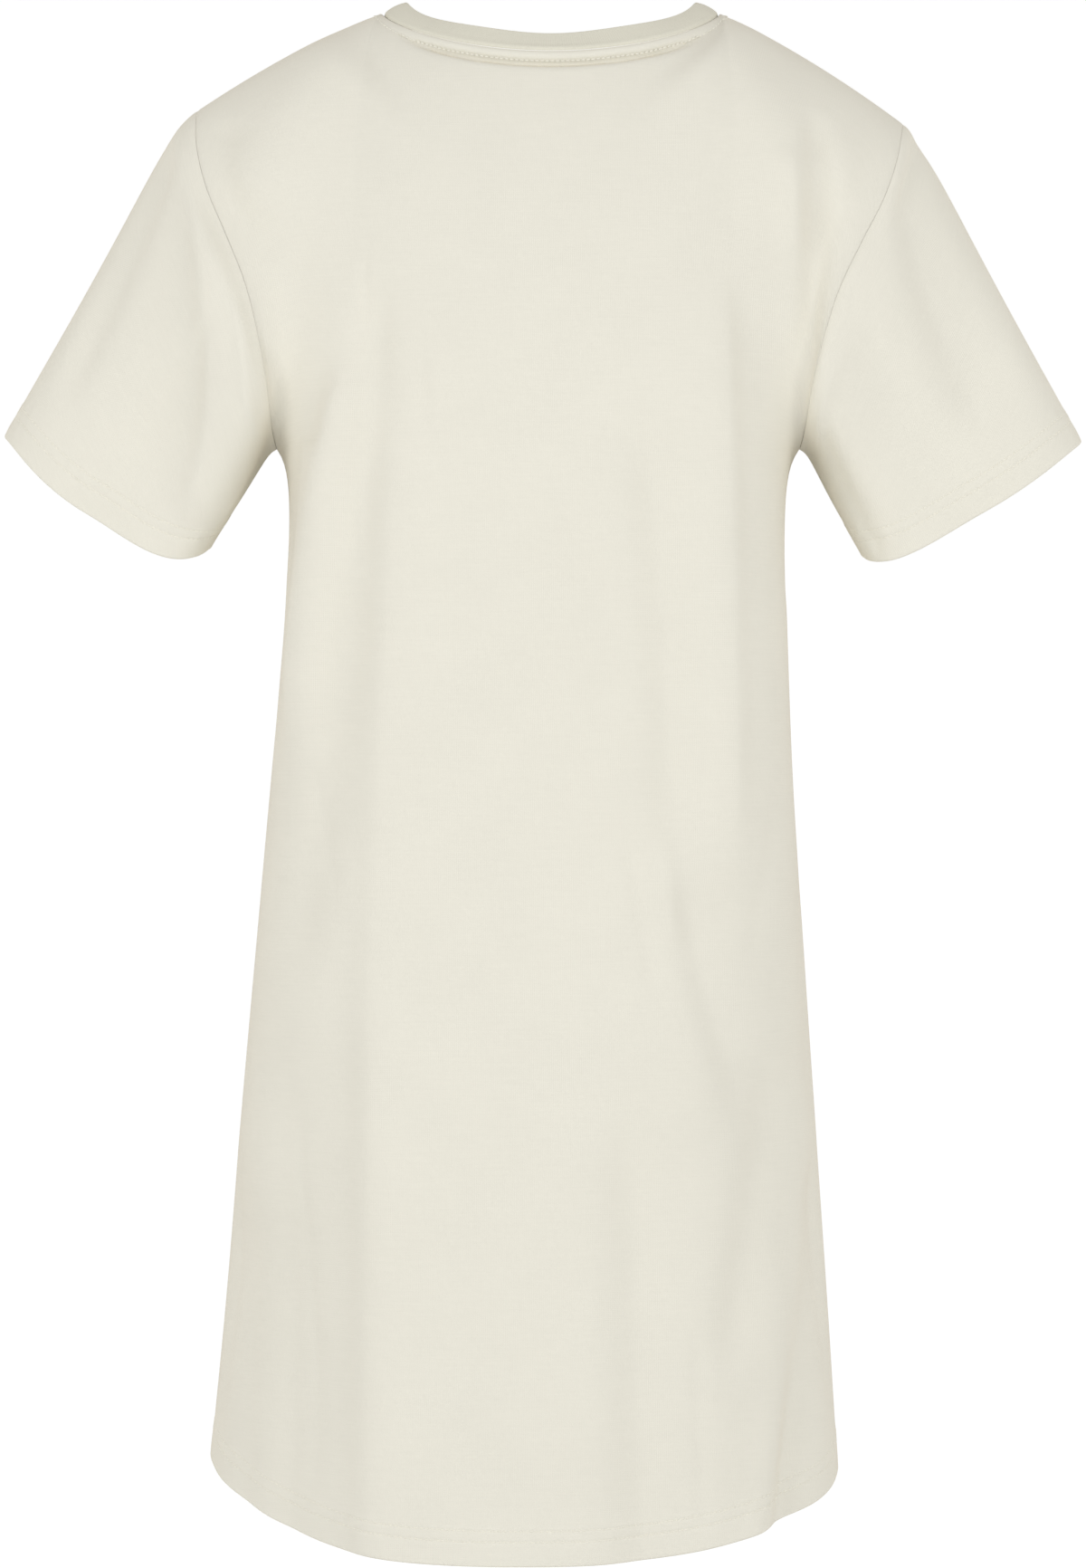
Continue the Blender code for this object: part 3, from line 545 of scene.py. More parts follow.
def make_panel(panel, folds, creases, sizes):
    """A body panel: levels from the hem to the armpits, then arches on to the shoulder and neck seams."""
    u = panel_columns(panel)
    across = u[None, :]
    rise = np.concatenate([HEM_RISES, np.full(panel.low_steps, HEM_RISES[-1])])[:, None]
    part = np.concatenate([np.zeros(len(HEM_RISES)), np.arange(1, panel.low_steps + 1) / panel.low_steps])
    lower = grid_of(*lower_points(panel, across, rise, part[:, None]))
    near_top = NECK_STEPS / COLUMN_LENGTH
    body = (1.0 - near_top[-1]) * np.linspace(0.0, 1.0, panel.up_steps + 1) ** ARMHOLE_GATHER
    up = np.concatenate([body[1:-1], (1.0 - near_top)[::-1]])
    upper = grid_of(*upper_points(panel, across, up[:, None]))
    points = np.concatenate([lower, upper])
    points[..., 1] = panel.facing * (points[..., 1] + SEAM_GAP / 2.0)
    armpit = len(lower) - 1
    normals = panel_normals(panel, u, points, armpit)
    height_up = np.concatenate([np.zeros(len(lower)), up])[:, None]
    from_side = 1.0 - np.abs(across)
    main = fold_height(folds, points[..., 0], points[..., 2]) * ease(from_side / FOLD_EDGE_FADE)
    small = fold_height(creases, points[..., 0], points[..., 2]) * ease(from_side / CREASE_EDGE_FADE)
    folded = (main + small) * ease((1.0 - height_up) * panel.top_fade)
    points = points + normals * folded[..., None]
    normals = panel_normals(panel, u, points, armpit)

    run = run_along(points, 1)
    climb = run_along(points, 0)
    from_middle = run - run[:, run.shape[1] // 2][:, None]
    flat_up = np.where(height_up > 0.0, climb - climb[armpit], points[..., 2] - ARMPIT_Z)
    high = points[armpit:].reshape(-1, 3)
    neck_distance = np.full(points.shape[:2], COLUMN_LENGTH)
    neck_distance[armpit:] = nearest(high, neck_edge(panel, points))[1].reshape(-1, len(u))
    shoulder = np.where(np.abs(across) >= NECK_COLUMN, climb[-1:] - climb, COLUMN_LENGTH)
    edge = np.minimum.reduce([run, run[:, -1:] - run, neck_distance, shoulder])
    rises = np.where(height_up > 0.0, COLUMN_LENGTH, climb)
    relief = stitch_relief(rises, from_middle) - SEAM_ROLL * bell(edge, SEAM_ROLL_WIDTH)
    relief = relief - (NECK_ROLL - SEAM_ROLL) * bell(neck_distance, SEAM_ROLL_WIDTH)
    if panel.facing > 0:
        relief = relief - GROOVE_DEPTH * bell(neck_distance - sizes.topstitch_drop / MM, GROOVE_WIDTH)
        reach = 1.0 - ease((np.abs(points[..., 0]) - NECK_TROUGH_REACH) / NECK_TROUGH_FADE)
        trough = NECK_TROUGH * bell(neck_distance - NECK_TROUGH_AT, NECK_TROUGH_WIDTH) * reach
        points = points - normals * trough[..., None]
    return Cloth(points, normals, rises, relief, (from_middle, flat_up), sizes, armpit)


def join_edges(first, second):
    """A closed ring from two edges that meet at both ends, at the middle between their end points."""
    ends = (first[[0, -1]] + second[[-1, 0]]) / 2.0
    return np.concatenate([ends[:1], first[1:-1], ends[1:], second[1:-1], ends[:1]])


def armhole_ring(back, front, side):
    """The armhole edge at even steps, with the cloth's normals on it: places run from -0.5 at the armpit
    up the front to 0 at the tip, and down the back to 0.5 at the armpit again."""
    column = -1 if side > 0 else 0
    ring, vectors = (
        join_edges(up[front.armpit:, column], down[back.armpit:, column][::-1])
        for up, down in ((front.points, back.points), (front.normals, back.normals)))
    run = run_along(ring, 0)
    tip = run[len(front.points) - front.armpit - 1]
    order = np.where(run < tip, run / tip - 1.0, (run - tip) / (run[-1] - tip)) / 2.0
    place = np.arange(SLEEVE_ROUND_STEPS) / SLEEVE_ROUND_STEPS - 0.5
    return place, read_line(place, order, ring), unit(read_line(place, order, vectors))


def cuff_ring(sleeve, place):
    """The cuff edge: an oval square to the sleeve's axis, a little lower at the back."""
    outer = np.array([sleeve.outer_x, sleeve.centre_y, sleeve.outer_z])
    inner = np.array([sleeve.inner_x, sleeve.centre_y, sleeve.inner_z])
    long_way = unit(outer - inner)
    radius = np.linalg.norm(outer - inner) / 2.0
    lean = np.radians(sleeve.lean)
    flat_axis = np.array([-long_way[2], 0.0, long_way[0]])
    flat_axis = flat_axis * -np.sign(flat_axis[2])
    axis = flat_axis * np.cos(lean) + np.array([0.0, -np.sin(lean), 0.0])
    back_way = np.array([0.0, np.cos(lean), 0.0]) + flat_axis * np.sin(lean)
    angle = 2.0 * np.pi * place[:, None]
    ring = (outer + inner) / 2.0 + radius * signed_power(np.cos(angle), CUFF_ROUNDNESS) * long_way
    ring = ring + sleeve.cuff_depth * signed_power(np.sin(angle), CUFF_ROUNDNESS) * back_way
    under = (1.0 - np.cos(angle)) / 2.0
    ring = ring + CUFF_UNDER_BACK * under ** 2 * np.array([0.0, 1.0, 0.0])
    past_lowest = angle - np.radians(sleeve.drop_at)
    ring = ring + sleeve.back_drop * np.maximum(np.cos(past_lowest), 0.0) ** 2 * axis
    return ring, axis


def leaving(loop, loop_normals, towards):
    """At each point of a closed edge, the direction that leaves the cloth in its own plane: the cross
    product of the edge's direction and the normal, turned towards a side."""
    tangent = unit(np.roll(loop, -1, axis=0) - np.roll(loop, 1, axis=0))
    leave = unit(np.cross(tangent, loop_normals))
    return leave * np.sign(np.sum(leave * towards))


def seam_offset(leave, away):
    """The direction of the seam's gap: along the cloth, or square to a piece that turns back."""
    back = np.sum(leave * away, axis=-1, keepdims=True)
    return unit(leave - np.minimum(back, 0.0) * away)


def sleeve_start(sleeve, place):
    """The direction in which the sleeve leaves the armhole, steeper towards the underarm."""
    turn = 2.0 * np.pi * place
    under = (1.0 - np.cos(turn)) / 2.0
    slope = np.radians(sleeve.top_slope + (SLEEVE_UNDER_SLOPE - sleeve.top_slope) * under)
    fill = SLEEVE_FILL * signed_power(np.sin(turn), SLEEVE_FILL_ROUNDNESS)
    return unit(grid_of(sleeve.side * np.cos(slope), fill, -np.sin(slope)))


def sleeve_points(start, away, end, axis, level):
    """Lines from the armhole to the cuff: a cubic between the two ends, pulled out squarely at each."""
    reach = np.linalg.norm(end - start, axis=1, keepdims=True)
    level = level[..., None]
    points = (1.0 + 2.0 * level) * (1.0 - level) ** 2 * start
    points = points + level * (1.0 - level) ** SLEEVE_START_FADE * SLEEVE_START_PULL * reach * away
    points = points + level * level * (3.0 - 2.0 * level) * end
    return points + level * level * (level - 1.0) * SLEEVE_END_PULL * reach * axis


def levels_at(run, levels, wanted):
    """Levels at which each line has run the wanted distance: one interpolation, the lines laid end to end."""
    apart = 2.0 * run.max()
    shift = apart * np.arange(run.shape[1])
    known = (run + shift).T.ravel()
    tiled = np.tile(levels, run.shape[1])
    found = np.interp((wanted + shift).T.ravel(), known, tiled)
    return found.reshape(run.shape[1], -1).T


def outward(normals, points):
    """Normals of a tube turned away from its middle."""
    centre = points.mean(axis=1, keepdims=True)
    return -normals if np.sum(normals * (points - centre)) < 0.0 else normals


def make_sleeve(sleeve, folds, back, front, sizes):
    """A set-in sleeve, with its grid's rows at even distances and its wrap at the underarm seam."""
    place, loop, loop_normals = armhole_ring(back, front, sleeve.side)
    away = sleeve_start(sleeve, place)
    leave = leaving(loop, loop_normals, np.array([sleeve.side, 0.0, 0.0]))
    start = loop + ARMHOLE_GAP * seam_offset(leave, away)
    away = unit(away + leave)
    end, axis = cuff_ring(sleeve, place)
    levels = np.linspace(0.0, 1.0, SLEEVE_LEVELS)
    run = run_along(sleeve_points(start, away, end, axis, levels[:, None]), 0)
    whole = run[-1:]
    share = np.linspace(0.0, 1.0, SLEEVE_BODY_STEPS + 1)[1:-1, None]
    body = SEAM_STEPS[-1] + (whole - HEM_RISES[-1] - SEAM_STEPS[-1]) * share
    wanted = np.concatenate([SEAM_STEPS[:, None] + 0.0 * whole, body, whole - HEM_RISES[::-1, None]])
    level = levels_at(run, levels, wanted)
    points = sleeve_points(start, away, end, axis, level)
    normals = outward(grid_normals(points, closed=True), points)
    height = fold_height(folds, place * SLEEVE_GIRTH, level * SLEEVE_LENGTH) * ease(level / SLEEVE_FADE)
    points = points + normals * height[..., None]
    normals = outward(grid_normals(points, closed=True), points)
    turns_in = np.sum(normals[0] * leave, axis=1, keepdims=True) > 0.0
    hold = bell(wanted, SEAM_HOLD)[..., None] * turns_in
    normals = unit(normals * (1.0 - hold) + loop_normals * hold)
    rises = whole - wanted
    around = run_along(np.concatenate([points, points[:, :1]], axis=1), 1)
    around = around[:, :-1] - around[:, -1:] / 2.0
    seam = np.minimum(wanted, np.abs(np.abs(place) - 0.5) * SLEEVE_GIRTH)
    relief = stitch_relief(rises, around) - SEAM_ROLL * bell(seam, SEAM_ROLL_WIDTH)
    return Cloth(points, normals, rises, relief, (around, -wanted), sizes)


def neck_edge(panel, grid):
    """The neck edge of a panel's grid, from right to left."""
    return grid[-1, np.abs(panel_columns(panel)) <= NECK_COLUMN]


def neck_ring(back, front):
    """The neck edge at even steps, with the cloth's normals on it: from the right seam along the back to
    the left seam, and back along the front."""
    ring, vectors = (
        join_edges(neck_edge(BACK, behind), neck_edge(FRONT, before)[::-1])
        for behind, before in ((back.points, front.points), (back.normals, front.normals)))
    run = run_along(ring, 0)
    place = np.arange(RIB_ROUND_STEPS) / RIB_ROUND_STEPS * run[-1]
    return place, read_line(place, run, ring), unit(read_line(place, run, vectors))


def soft_ring(vectors):
    """Unit vectors round a ring, each the mean of its neighbours under a bell curve."""
    steps = np.arange(-3 * RING_SOFTNESS, 3 * RING_SOFTNESS + 1)
    return unit(sum(np.roll(vectors, step, axis=0) * bell(step, RING_SOFTNESS) for step in steps))


def make_neck_rib(back, front):
    """The folded neck rib: it stands up from the neck seam, leans in, and its top edge is half a round."""
    place, loop, loop_normals = neck_ring(back, front)
    inwards = unit(-loop * np.array([1.0, 1.0, 0.0]))
    side = inwards[:, :1] ** EDGE_ONLY
    slope = np.radians(SHOULDER_SLOPE)
    shoulder = UP * np.cos(slope) - inwards * np.sin(slope)
    loop_normals = soft_ring(loop_normals + (shoulder - loop_normals) * side)
    leave = soft_ring(leaving(loop, loop_normals, UP))
    start = loop + NECK_GAP * leave
    steep = unit(leave + RIB_SIDE_RISE * side * UP)
    lean = unit(leave + RIB_LEAN * inwards[:, 1:2] ** 2 * inwards)
    rib_normals = unit(np.cross(lean, np.roll(loop, -1, axis=0) - np.roll(loop, 1, axis=0)))
    rib_normals = rib_normals * np.sign(np.sum(rib_normals * loop_normals))
    half_wall = RIB_WALL / 2.0
    rounding = 1.0 - half_wall / RIB_WIDTH * (1.0 - np.sin(RIB_EDGE_TURNS))
    part = np.concatenate([RIB_ROWS, rounding])[:, None, None]
    drop = np.concatenate([0.0 * RIB_ROWS, half_wall * (1.0 - np.cos(RIB_EDGE_TURNS))])[:, None, None]
    bend = ease(part / RIB_BEND_END)
    bend = bend + (part - bend) * side
    way = unit(steep + (lean - steep) * bend)
    normals = unit(loop_normals + (rib_normals - loop_normals) * ease(part / RIB_TURN_END))
    middle = start + RIB_WIDTH * part * way
    groove = NECK_ROLL * bell(RIB_WIDTH * part, SEAM_ROLL_WIDTH)
    base_wall = RIB_BASE_WALL + (RIB_WALL - RIB_BASE_WALL) * ease(part / RIB_WALL_END)
    outer = middle - normals * (drop + groove)
    inner = middle - normals * (base_wall - drop) + leave * RIB_BASE_BEVEL * bell(part, RIB_BEVEL_END)
    return outer, inner, grid_of(place, RIB_WIDTH * part[:, :, 0])


def hem_rim(outer, inner):
    """Points round the folded edge: half a circle from the outer to the inner wall."""
    middle = (outer[0] + inner[0]) / 2.0
    out = (outer[0] - inner[0]) / 2.0
    down = unit(outer[0] - outer[2]) * np.linalg.norm(out, axis=-1, keepdims=True)
    turn = (np.arange(1, HEM_RIM_STEPS + 1) / (HEM_RIM_STEPS + 1) * np.pi)[:, None, None]
    return middle + out * np.cos(turn) + down * np.sin(turn)


def grid_faces(rows, columns):
    """Rows and columns of the four corners of each face between the rows and columns of a grid."""
    row, column = np.meshgrid(np.arange(rows - 1), np.arange(columns - 1), indexing="ij")
    return (np.stack([row, row + 1, row + 1, row], axis=-1).reshape(-1, 4),
            np.stack([column, column, column + 1, column + 1], axis=-1).reshape(-1, 4))


def tube_faces(rings, sides):
    """The faces of a tube whose points run round one ring after the other."""
    row, column = grid_faces(rings, sides + 1)
    return row * sides + column % sides


def wall_faces(rows, columns, closed):
    """Rows and columns of the corners of all faces of a wall whose grid goes from the outer top, round the
    folded edge, to the inner top, with its top and side rims."""
    last = columns if closed else columns - 1
    face_rows, face_columns = ([corners] for corners in grid_faces(rows, last + 1))
    step = np.arange(last)
    zero = np.zeros_like(step)
    face_rows.append(np.stack([zero, zero, zero + rows - 1, zero + rows - 1], axis=-1))
    face_columns.append(np.stack([step, step + 1, step + 1, step], axis=-1))
    if not closed:
        step = np.arange(rows // 2 - 1)
        face_rows.append(np.stack([step + 1, step, rows - 1 - step, rows - 2 - step], axis=-1))
        face_columns.append(np.zeros((len(step), 4), int))
        face_rows.append(np.stack([step, step + 1, rows - 2 - step, rows - 1 - step], axis=-1))
        face_columns.append(np.full((len(step), 4), columns - 1))
    return np.concatenate(face_rows), np.concatenate(face_columns)


def signed_volume(points, faces):
    """The volume inside a closed mesh of four-sided faces, below 0 where its faces point in."""
    a, b, c, d = (points[faces[:, corner]] for corner in range(4))
    return np.sum(a * (np.cross(b, c) + np.cross(c, d))) / 6.0


def add_mesh(name, points, faces, material, flat=None):
    """A piece from arrays: points in millimetres, four-sided faces, and a flat place at each corner for
    the knit. It rides on the dress's one body."""
    if signed_volume(points, faces) < 0.0:
        faces = faces[:, ::-1]
        flat = None if flat is None else flat[:, ::-1]
    mesh = bpy.data.meshes.new(name)
    mesh.vertices.add(len(points))
    mesh.vertices.foreach_set("co", (points * MM).astype(np.float32).ravel())
    mesh.loops.add(faces.size)
    mesh.loops.foreach_set("vertex_index", faces.astype(np.int32).ravel())
    mesh.polygons.add(len(faces))
    mesh.polygons.foreach_set("loop_start", np.arange(0, faces.size, 4, dtype=np.int32))
    mesh.update(calc_edges=True)
    mesh.validate()
    if flat is not None:
        layer = mesh.uv_layers.new(name="flat_cloth")
        layer.data.foreach_set("uv", (flat * MM).astype(np.float32).ravel())
    mesh.shade_smooth()
    mesh.set_sharp_from_angle(angle=np.radians(SHARP_ANGLE))
    mesh.materials.append(material)
    piece = bpy.data.objects.new(name, mesh)
    bpy.context.scene.collection.objects.link(piece)
    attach(piece, "root")
    return piece


def add_cloth(name, outer, inner, flat, material, closed=False, folded_edge=True):
    """A sheet of cloth with its thickness: the outer grid, the folded edge and the inner grid in one."""
    rim = hem_rim(outer, inner) if folded_edge else np.zeros((0,) + outer.shape[1:])
    grid = np.concatenate([outer[::-1], rim, inner])
    flats = np.concatenate([flat[::-1], np.repeat(flat[:1], len(rim), axis=0), flat])
    rows, columns = grid.shape[:2]
    if closed:
        step = flats[:, -1:] - flats[:, -2:-1]
        flats = np.concatenate([flats, flats[:, -1:] + step], axis=1)
    face_rows, face_columns = wall_faces(rows, columns, closed)
    faces = face_rows * columns + face_columns % columns
    return add_mesh(name, grid.reshape(-1, 3), faces, material, flats[face_rows, face_columns])


def even_places(line, normals, pitch):
    """Places at even steps along a line, with the direction of the line and the cloth's normal there."""
    run = run_along(line, 0)
    count = max(2, int(round(run[-1] / pitch)))
    place = (np.arange(count) + 0.5) / count * run[-1]
    along = unit(read_line(place + 0.5, run, line) - read_line(place - 0.5, run, line))
    return read_line(place, run, line), along, unit(read_line(place, run, normals))


def stitch_mesh(places, along, normals, length, width):
    """All stitches of a line in one mesh: each is a short six-sided thread along the line, thick in the
    middle, whose ends dip into the cloth. Its tube is turned the way that its caps are."""
    rings = np.array(STITCH_RINGS)[:, :, None, None]
    turn = np.arange(STITCH_SIDES) / STITCH_SIDES * 2.0 * np.pi
    ahead = rings[:, 0] * length / 2.0 + 0.0 * turn[:, None]
    aside = rings[:, 1] * np.cos(turn)[:, None] * width / 2.0
    up = (rings[:, 1] * np.sin(turn)[:, None] + rings[:, 2]) * THREAD_FLATNESS * width / 2.0
    ways = [way[:, None, None] for way in (along, unit(np.cross(along, normals)), normals)]
    points = places[:, None, None] + ahead * ways[0] + aside * ways[1] + up * ways[2]
    tube = tube_faces(len(STITCH_RINGS), STITCH_SIDES)
    one = np.concatenate([tube[:, [0, 3, 2, 1]], STITCH_CAPS])
    corners = len(STITCH_RINGS) * STITCH_SIDES
    faces = one[None] + corners * np.arange(len(places))[:, None, None]
    return points.reshape(-1, 3), faces.reshape(-1, 4)


def linear(code):
    """A linear colour from an sRGB hex code."""
    value = np.array([int(code[i:i + 2], 16) for i in (0, 2, 4)]) / 255.0
    return tuple(np.where(value <= 0.04045, value / 12.92, ((value + 0.055) / 1.055) ** 2.4))


def add_node(tree, kind, settings=None, links=None):
    """Adds a node. settings holds its attributes by name, and values for its inputs by number or name;
    links joins its inputs to other nodes' outputs, the first one where only the node is given."""
    node = tree.nodes.new("ShaderNode" + kind)
    for key, value in (settings or {}).items():
        if isinstance(key, int) or key in node.inputs:
            node.inputs[key].default_value = value
        else:
            setattr(node, key, value)
    for key, source in (links or {}).items():
        output = source.outputs[0] if isinstance(source, bpy.types.Node) else source
        tree.links.new(output, node.inputs[key])
    return node


def new_material(name, colour, roughness, sheen):
    """A cloth's shader with its constants on its own sockets. The fuzz of cotton shows as sheen where it is
    seen along its surface, and that sheen's warm tint is painted warm light, the warm bounce in shade and at
    the edges."""
    material = bpy.data.materials.new(name)
    material.use_nodes = True
    shader = material.node_tree.nodes["Principled BSDF"]
    for key, value in {
        "Base Color": (*colour, 1.0),
        "Roughness": roughness,
        "Metallic": 0.0,
        "IOR": 1.5,
        "Specular IOR Level": 0.15,
        "Sheen Weight": sheen,
        "Sheen Roughness": 0.5,
        # The sheen's warm tint is painted warm light, the warm bounce in the underarm shade and along the
        # edges.
        "Sheen Tint": (*linear(FUZZ_SHEEN_PAINTED_WARM_LIGHT), 1.0),
    }.items():
        shader.inputs[key].default_value = value
    return material, shader


def knitted(name, colour, wale, course, roughness, sheen, depth, mottle):
    """Knitted cotton. Ring-spun cotton jersey is matt, with columns of small V stitches, and its yarn is
    never quite even, which gives faint streaks across it, 24 mm long and 1 mm wide, and clouds of 45 mm.
    wale and course are the spacings of the columns and rows, and depth the bump, in millimetres."""
    material, shader = new_material(name, colour, roughness, sheen)
    tree = material.node_tree
    place = add_node(tree, "UVMap", {"uv_map": "flat_cloth"})
    pitch = (1.0 / (wale * MM), 1.0 / (course * MM), 1.0)
    stitch = add_node(tree, "Mapping", {"Scale": pitch}, {"Vector": place})
    split = add_node(tree, "SeparateXYZ", None, {0: stitch})
    column = add_node(tree, "Math", {"operation": "PINGPONG", 1: 0.5}, {0: split})
    row = split.outputs["Y"]
    slant = add_node(tree, "Math", {"operation": "MULTIPLY_ADD", 1: KNIT_CLIMB}, {0: column, 2: row})
    turn = add_node(tree, "Math", {"operation": "MULTIPLY", 1: 2.0 * np.pi}, {0: slant})
    loops = add_node(tree, "Math", {"operation": "SINE"}, {0: turn})
    groove = add_node(tree, "Math", {"operation": "MULTIPLY_ADD", 1: KNIT_GROOVE, 2: 0.0}, {0: column})
    knit = add_node(tree, "Math", {"operation": "MULTIPLY_ADD", 1: KNIT_LOOP}, {0: loops, 2: groove})
    streak_place = add_node(tree, "Mapping", {"Scale": STREAK_SCALE}, {"Vector": place})
    streaks = add_node(
        tree, "TexNoise", {"Scale": 1.0, "Detail": 2.0, "Roughness": 0.6}, {"Vector": streak_place})
    clouds = add_node(
        tree, "TexNoise", {"Scale": CLOUD_SCALE, "Detail": 3.0, "Roughness": 0.55}, {"Vector": place})
    tone = add_node(tree, "Math", {"operation": "ADD"}, {0: streaks, 1: clouds})
    limits = {"From Min": 0.6, "From Max": 1.4, "To Min": 1.0 - mottle, "To Max": 1.0 + mottle}
    shade = add_node(tree, "MapRange", limits, {"Value": tone})
    base = add_node(tree, "VectorMath", {"operation": "SCALE", 0: colour}, {"Scale": shade})
    tree.links.new(base.outputs[0], shader.inputs["Base Color"])
    slub = add_node(tree, "Math", {"operation": "MULTIPLY_ADD", 1: KNIT_SLUB}, {0: streaks, 2: knit})
    bump = add_node(tree, "Bump", {"Strength": 1.0, "Distance": depth * MM}, {"Height": slub})
    tree.links.new(bump.outputs[0], shader.inputs["Normal"])
    return material


def jersey_material(colours):
    """Cotton single jersey, piece-dyed cream: matt, a little fuzzy. The real wales are about 0.6 mm apart,
    too fine to show, so they are drawn 1.1 mm apart."""
    return knitted("cotton_single_jersey_cream", colours.jersey, wale=1.1, course=0.9, roughness=0.88,
                   sheen=0.18, depth=0.05, mottle=0.02)


def rib_material(colours):
    """Cotton rib, 1 by 1, in the same cream: upright cords 1.4 mm apart. Its colour is a little greyer than
    the jersey's, as painted shade of the folded band.
    """
    return knitted("cotton_rib_1x1_cream", colours.rib, wale=1.4, course=0.9, roughness=0.88,
                   sheen=0.12, depth=0.12, mottle=0.015)


def thread_material(colours):
    """Spun polyester sewing thread, dyed to match: a little smoother and lighter than the cotton, with the
    1 mm twist of its fibres as bump."""
    material, shader = new_material("spun_polyester_thread_cream", colours.thread, roughness=0.6, sheen=0.05)
    tree = material.node_tree
    place = add_node(tree, "TexCoord")
    noise = add_node(tree, "TexNoise", {"Scale": 900.0, "Detail": 2.0}, {"Vector": place.outputs["Object"]})
    bump = add_node(tree, "Bump", {"Strength": 0.5, "Distance": 0.05 * MM}, {"Height": noise})
    tree.links.new(bump.outputs[0], shader.inputs["Normal"])
    return material


def studio_material(colours):
    """Seamless studio paper: even, matt and almost white, with a glow that the camera alone sees."""
    material, shader = new_material("seamless_paper_white", colours.studio, roughness=1.0, sheen=0.0)
    shader.inputs["Specular IOR Level"].default_value = 0.0
    shader.inputs["Emission Color"].default_value = (1.0, 1.0, 1.0, 1.0)
    tree = material.node_tree
    ray = add_node(tree, "LightPath")
    seen = ray.outputs["Is Camera Ray"]
    glow = add_node(tree, "Math", {"operation": "MULTIPLY", 1: BACKDROP_GLOW}, {0: seen})
    tree.links.new(glow.outputs[0], shader.inputs["Emission Strength"])
    return material


def body_panels(sizes):
    """The back and the front as grids of cloth."""
    back = make_panel(BACK, BACK_FOLDS, BACK_CREASES, sizes)
    front = make_panel(FRONT, FRONT_FOLDS, FRONT_CREASES, sizes)
    return back, front


def sleeves(sizes, back, front):
    """The two sleeves as grids of cloth."""
    left = make_sleeve(SLEEVE_LEFT, LEFT_SLEEVE_FOLDS, back, front, sizes)
    right = make_sleeve(SLEEVE_RIGHT, RIGHT_SLEEVE_FOLDS, back, front, sizes)
    return left, right


def length(name, description, default):
    """A length in metres that a user may change."""
    return bpy.props.FloatProperty(
        name=name, description=description, default=default, unit="LENGTH", precision=4)


def colour(name, description, code):
    """A colour that a user may change."""
    return bpy.props.FloatVectorProperty(
        name=name, description=description, subtype="COLOR", default=linear(code))


class DressSizes(bpy.types.PropertyGroup):
    """The sizes of the cloth and its sewing."""

    jersey_wall: length("Jersey", "Thickness of the jersey", 0.0012)
    hem_wall: length("Hem", "Thickness of the doubled jersey at hem and cuffs", 0.002)
    topstitch_drop: length("Neck stitch line", "From the neck seam to the line below it", 0.0065)
    stitch_pitch: length("Stitch pitch", "From one stitch to the next", 0.0029)
    stitch_length: length("Stitch length", "Length of the thread that shows", 0.0022)
    thread_width: length("Thread", "Width of the sewing thread", 0.0006)


class DressColours(bpy.types.PropertyGroup):
    """The colours of the dress and the studio."""

    jersey: colour("Jersey", "Colour of the jersey", "E3E0D4")
    # The rib's colour is a little darker than the jersey's: painted shade of the folded band.
    rib: colour("Rib", "Colour of the neck rib", "DFDCCD")
    thread: colour("Thread", "Colour of the sewing thread", "EAE7DA")
    studio: colour("Studio", "Colour of the paper sweep", "F8F8F7")


class DRESS_OT_body(bpy.types.Operator):
    """Make the back and front panels"""

    bl_idname = "dress.body"
    bl_label = "Body panels"

    def execute(self, context):
        jersey = jersey_material(context.scene.dress_colours)
        back, front = body_panels(context.scene.dress_sizes)
        for name, cloth, flat, area in (
            ("back", back, (0.52, 0.87), 0.38),
            ("front", front, (0.54, 0.87), 0.39),
        ):
            piece = add_cloth(name + "_panel", cloth.outer, cloth.inner, cloth.flat, jersey)
            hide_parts(name)
        return {"FINISHED"}


class DRESS_OT_sleeves(bpy.types.Operator):
    """Make the two set-in sleeves"""

    bl_idname = "dress.sleeves"
    bl_label = "Sleeves"

    def execute(self, context):
        jersey = jersey_material(context.scene.dress_colours)
        sizes = context.scene.dress_sizes
        left, right = sleeves(sizes, *body_panels(sizes))
        for name, cloth in (("left", left), ("right", right)):
            piece = add_cloth(
                name + "_sleeve", cloth.outer[::-1], cloth.inner[::-1], cloth.flat[::-1], jersey, closed=True)
            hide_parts("sleeve_" + name)
        return {"FINISHED"}


class DRESS_OT_neck_rib(bpy.types.Operator):
    """Make the folded neck rib"""

    bl_idname = "dress.neck_rib"
    bl_label = "Neck rib"

    def execute(self, context):
        rib = rib_material(context.scene.dress_colours)
        outer, inner, flat = make_neck_rib(*body_panels(context.scene.dress_sizes))
        piece = add_cloth("neck_band", outer, inner, flat, rib, closed=True, folded_edge=False)
        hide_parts("neck_rib")
        return {"FINISHED"}


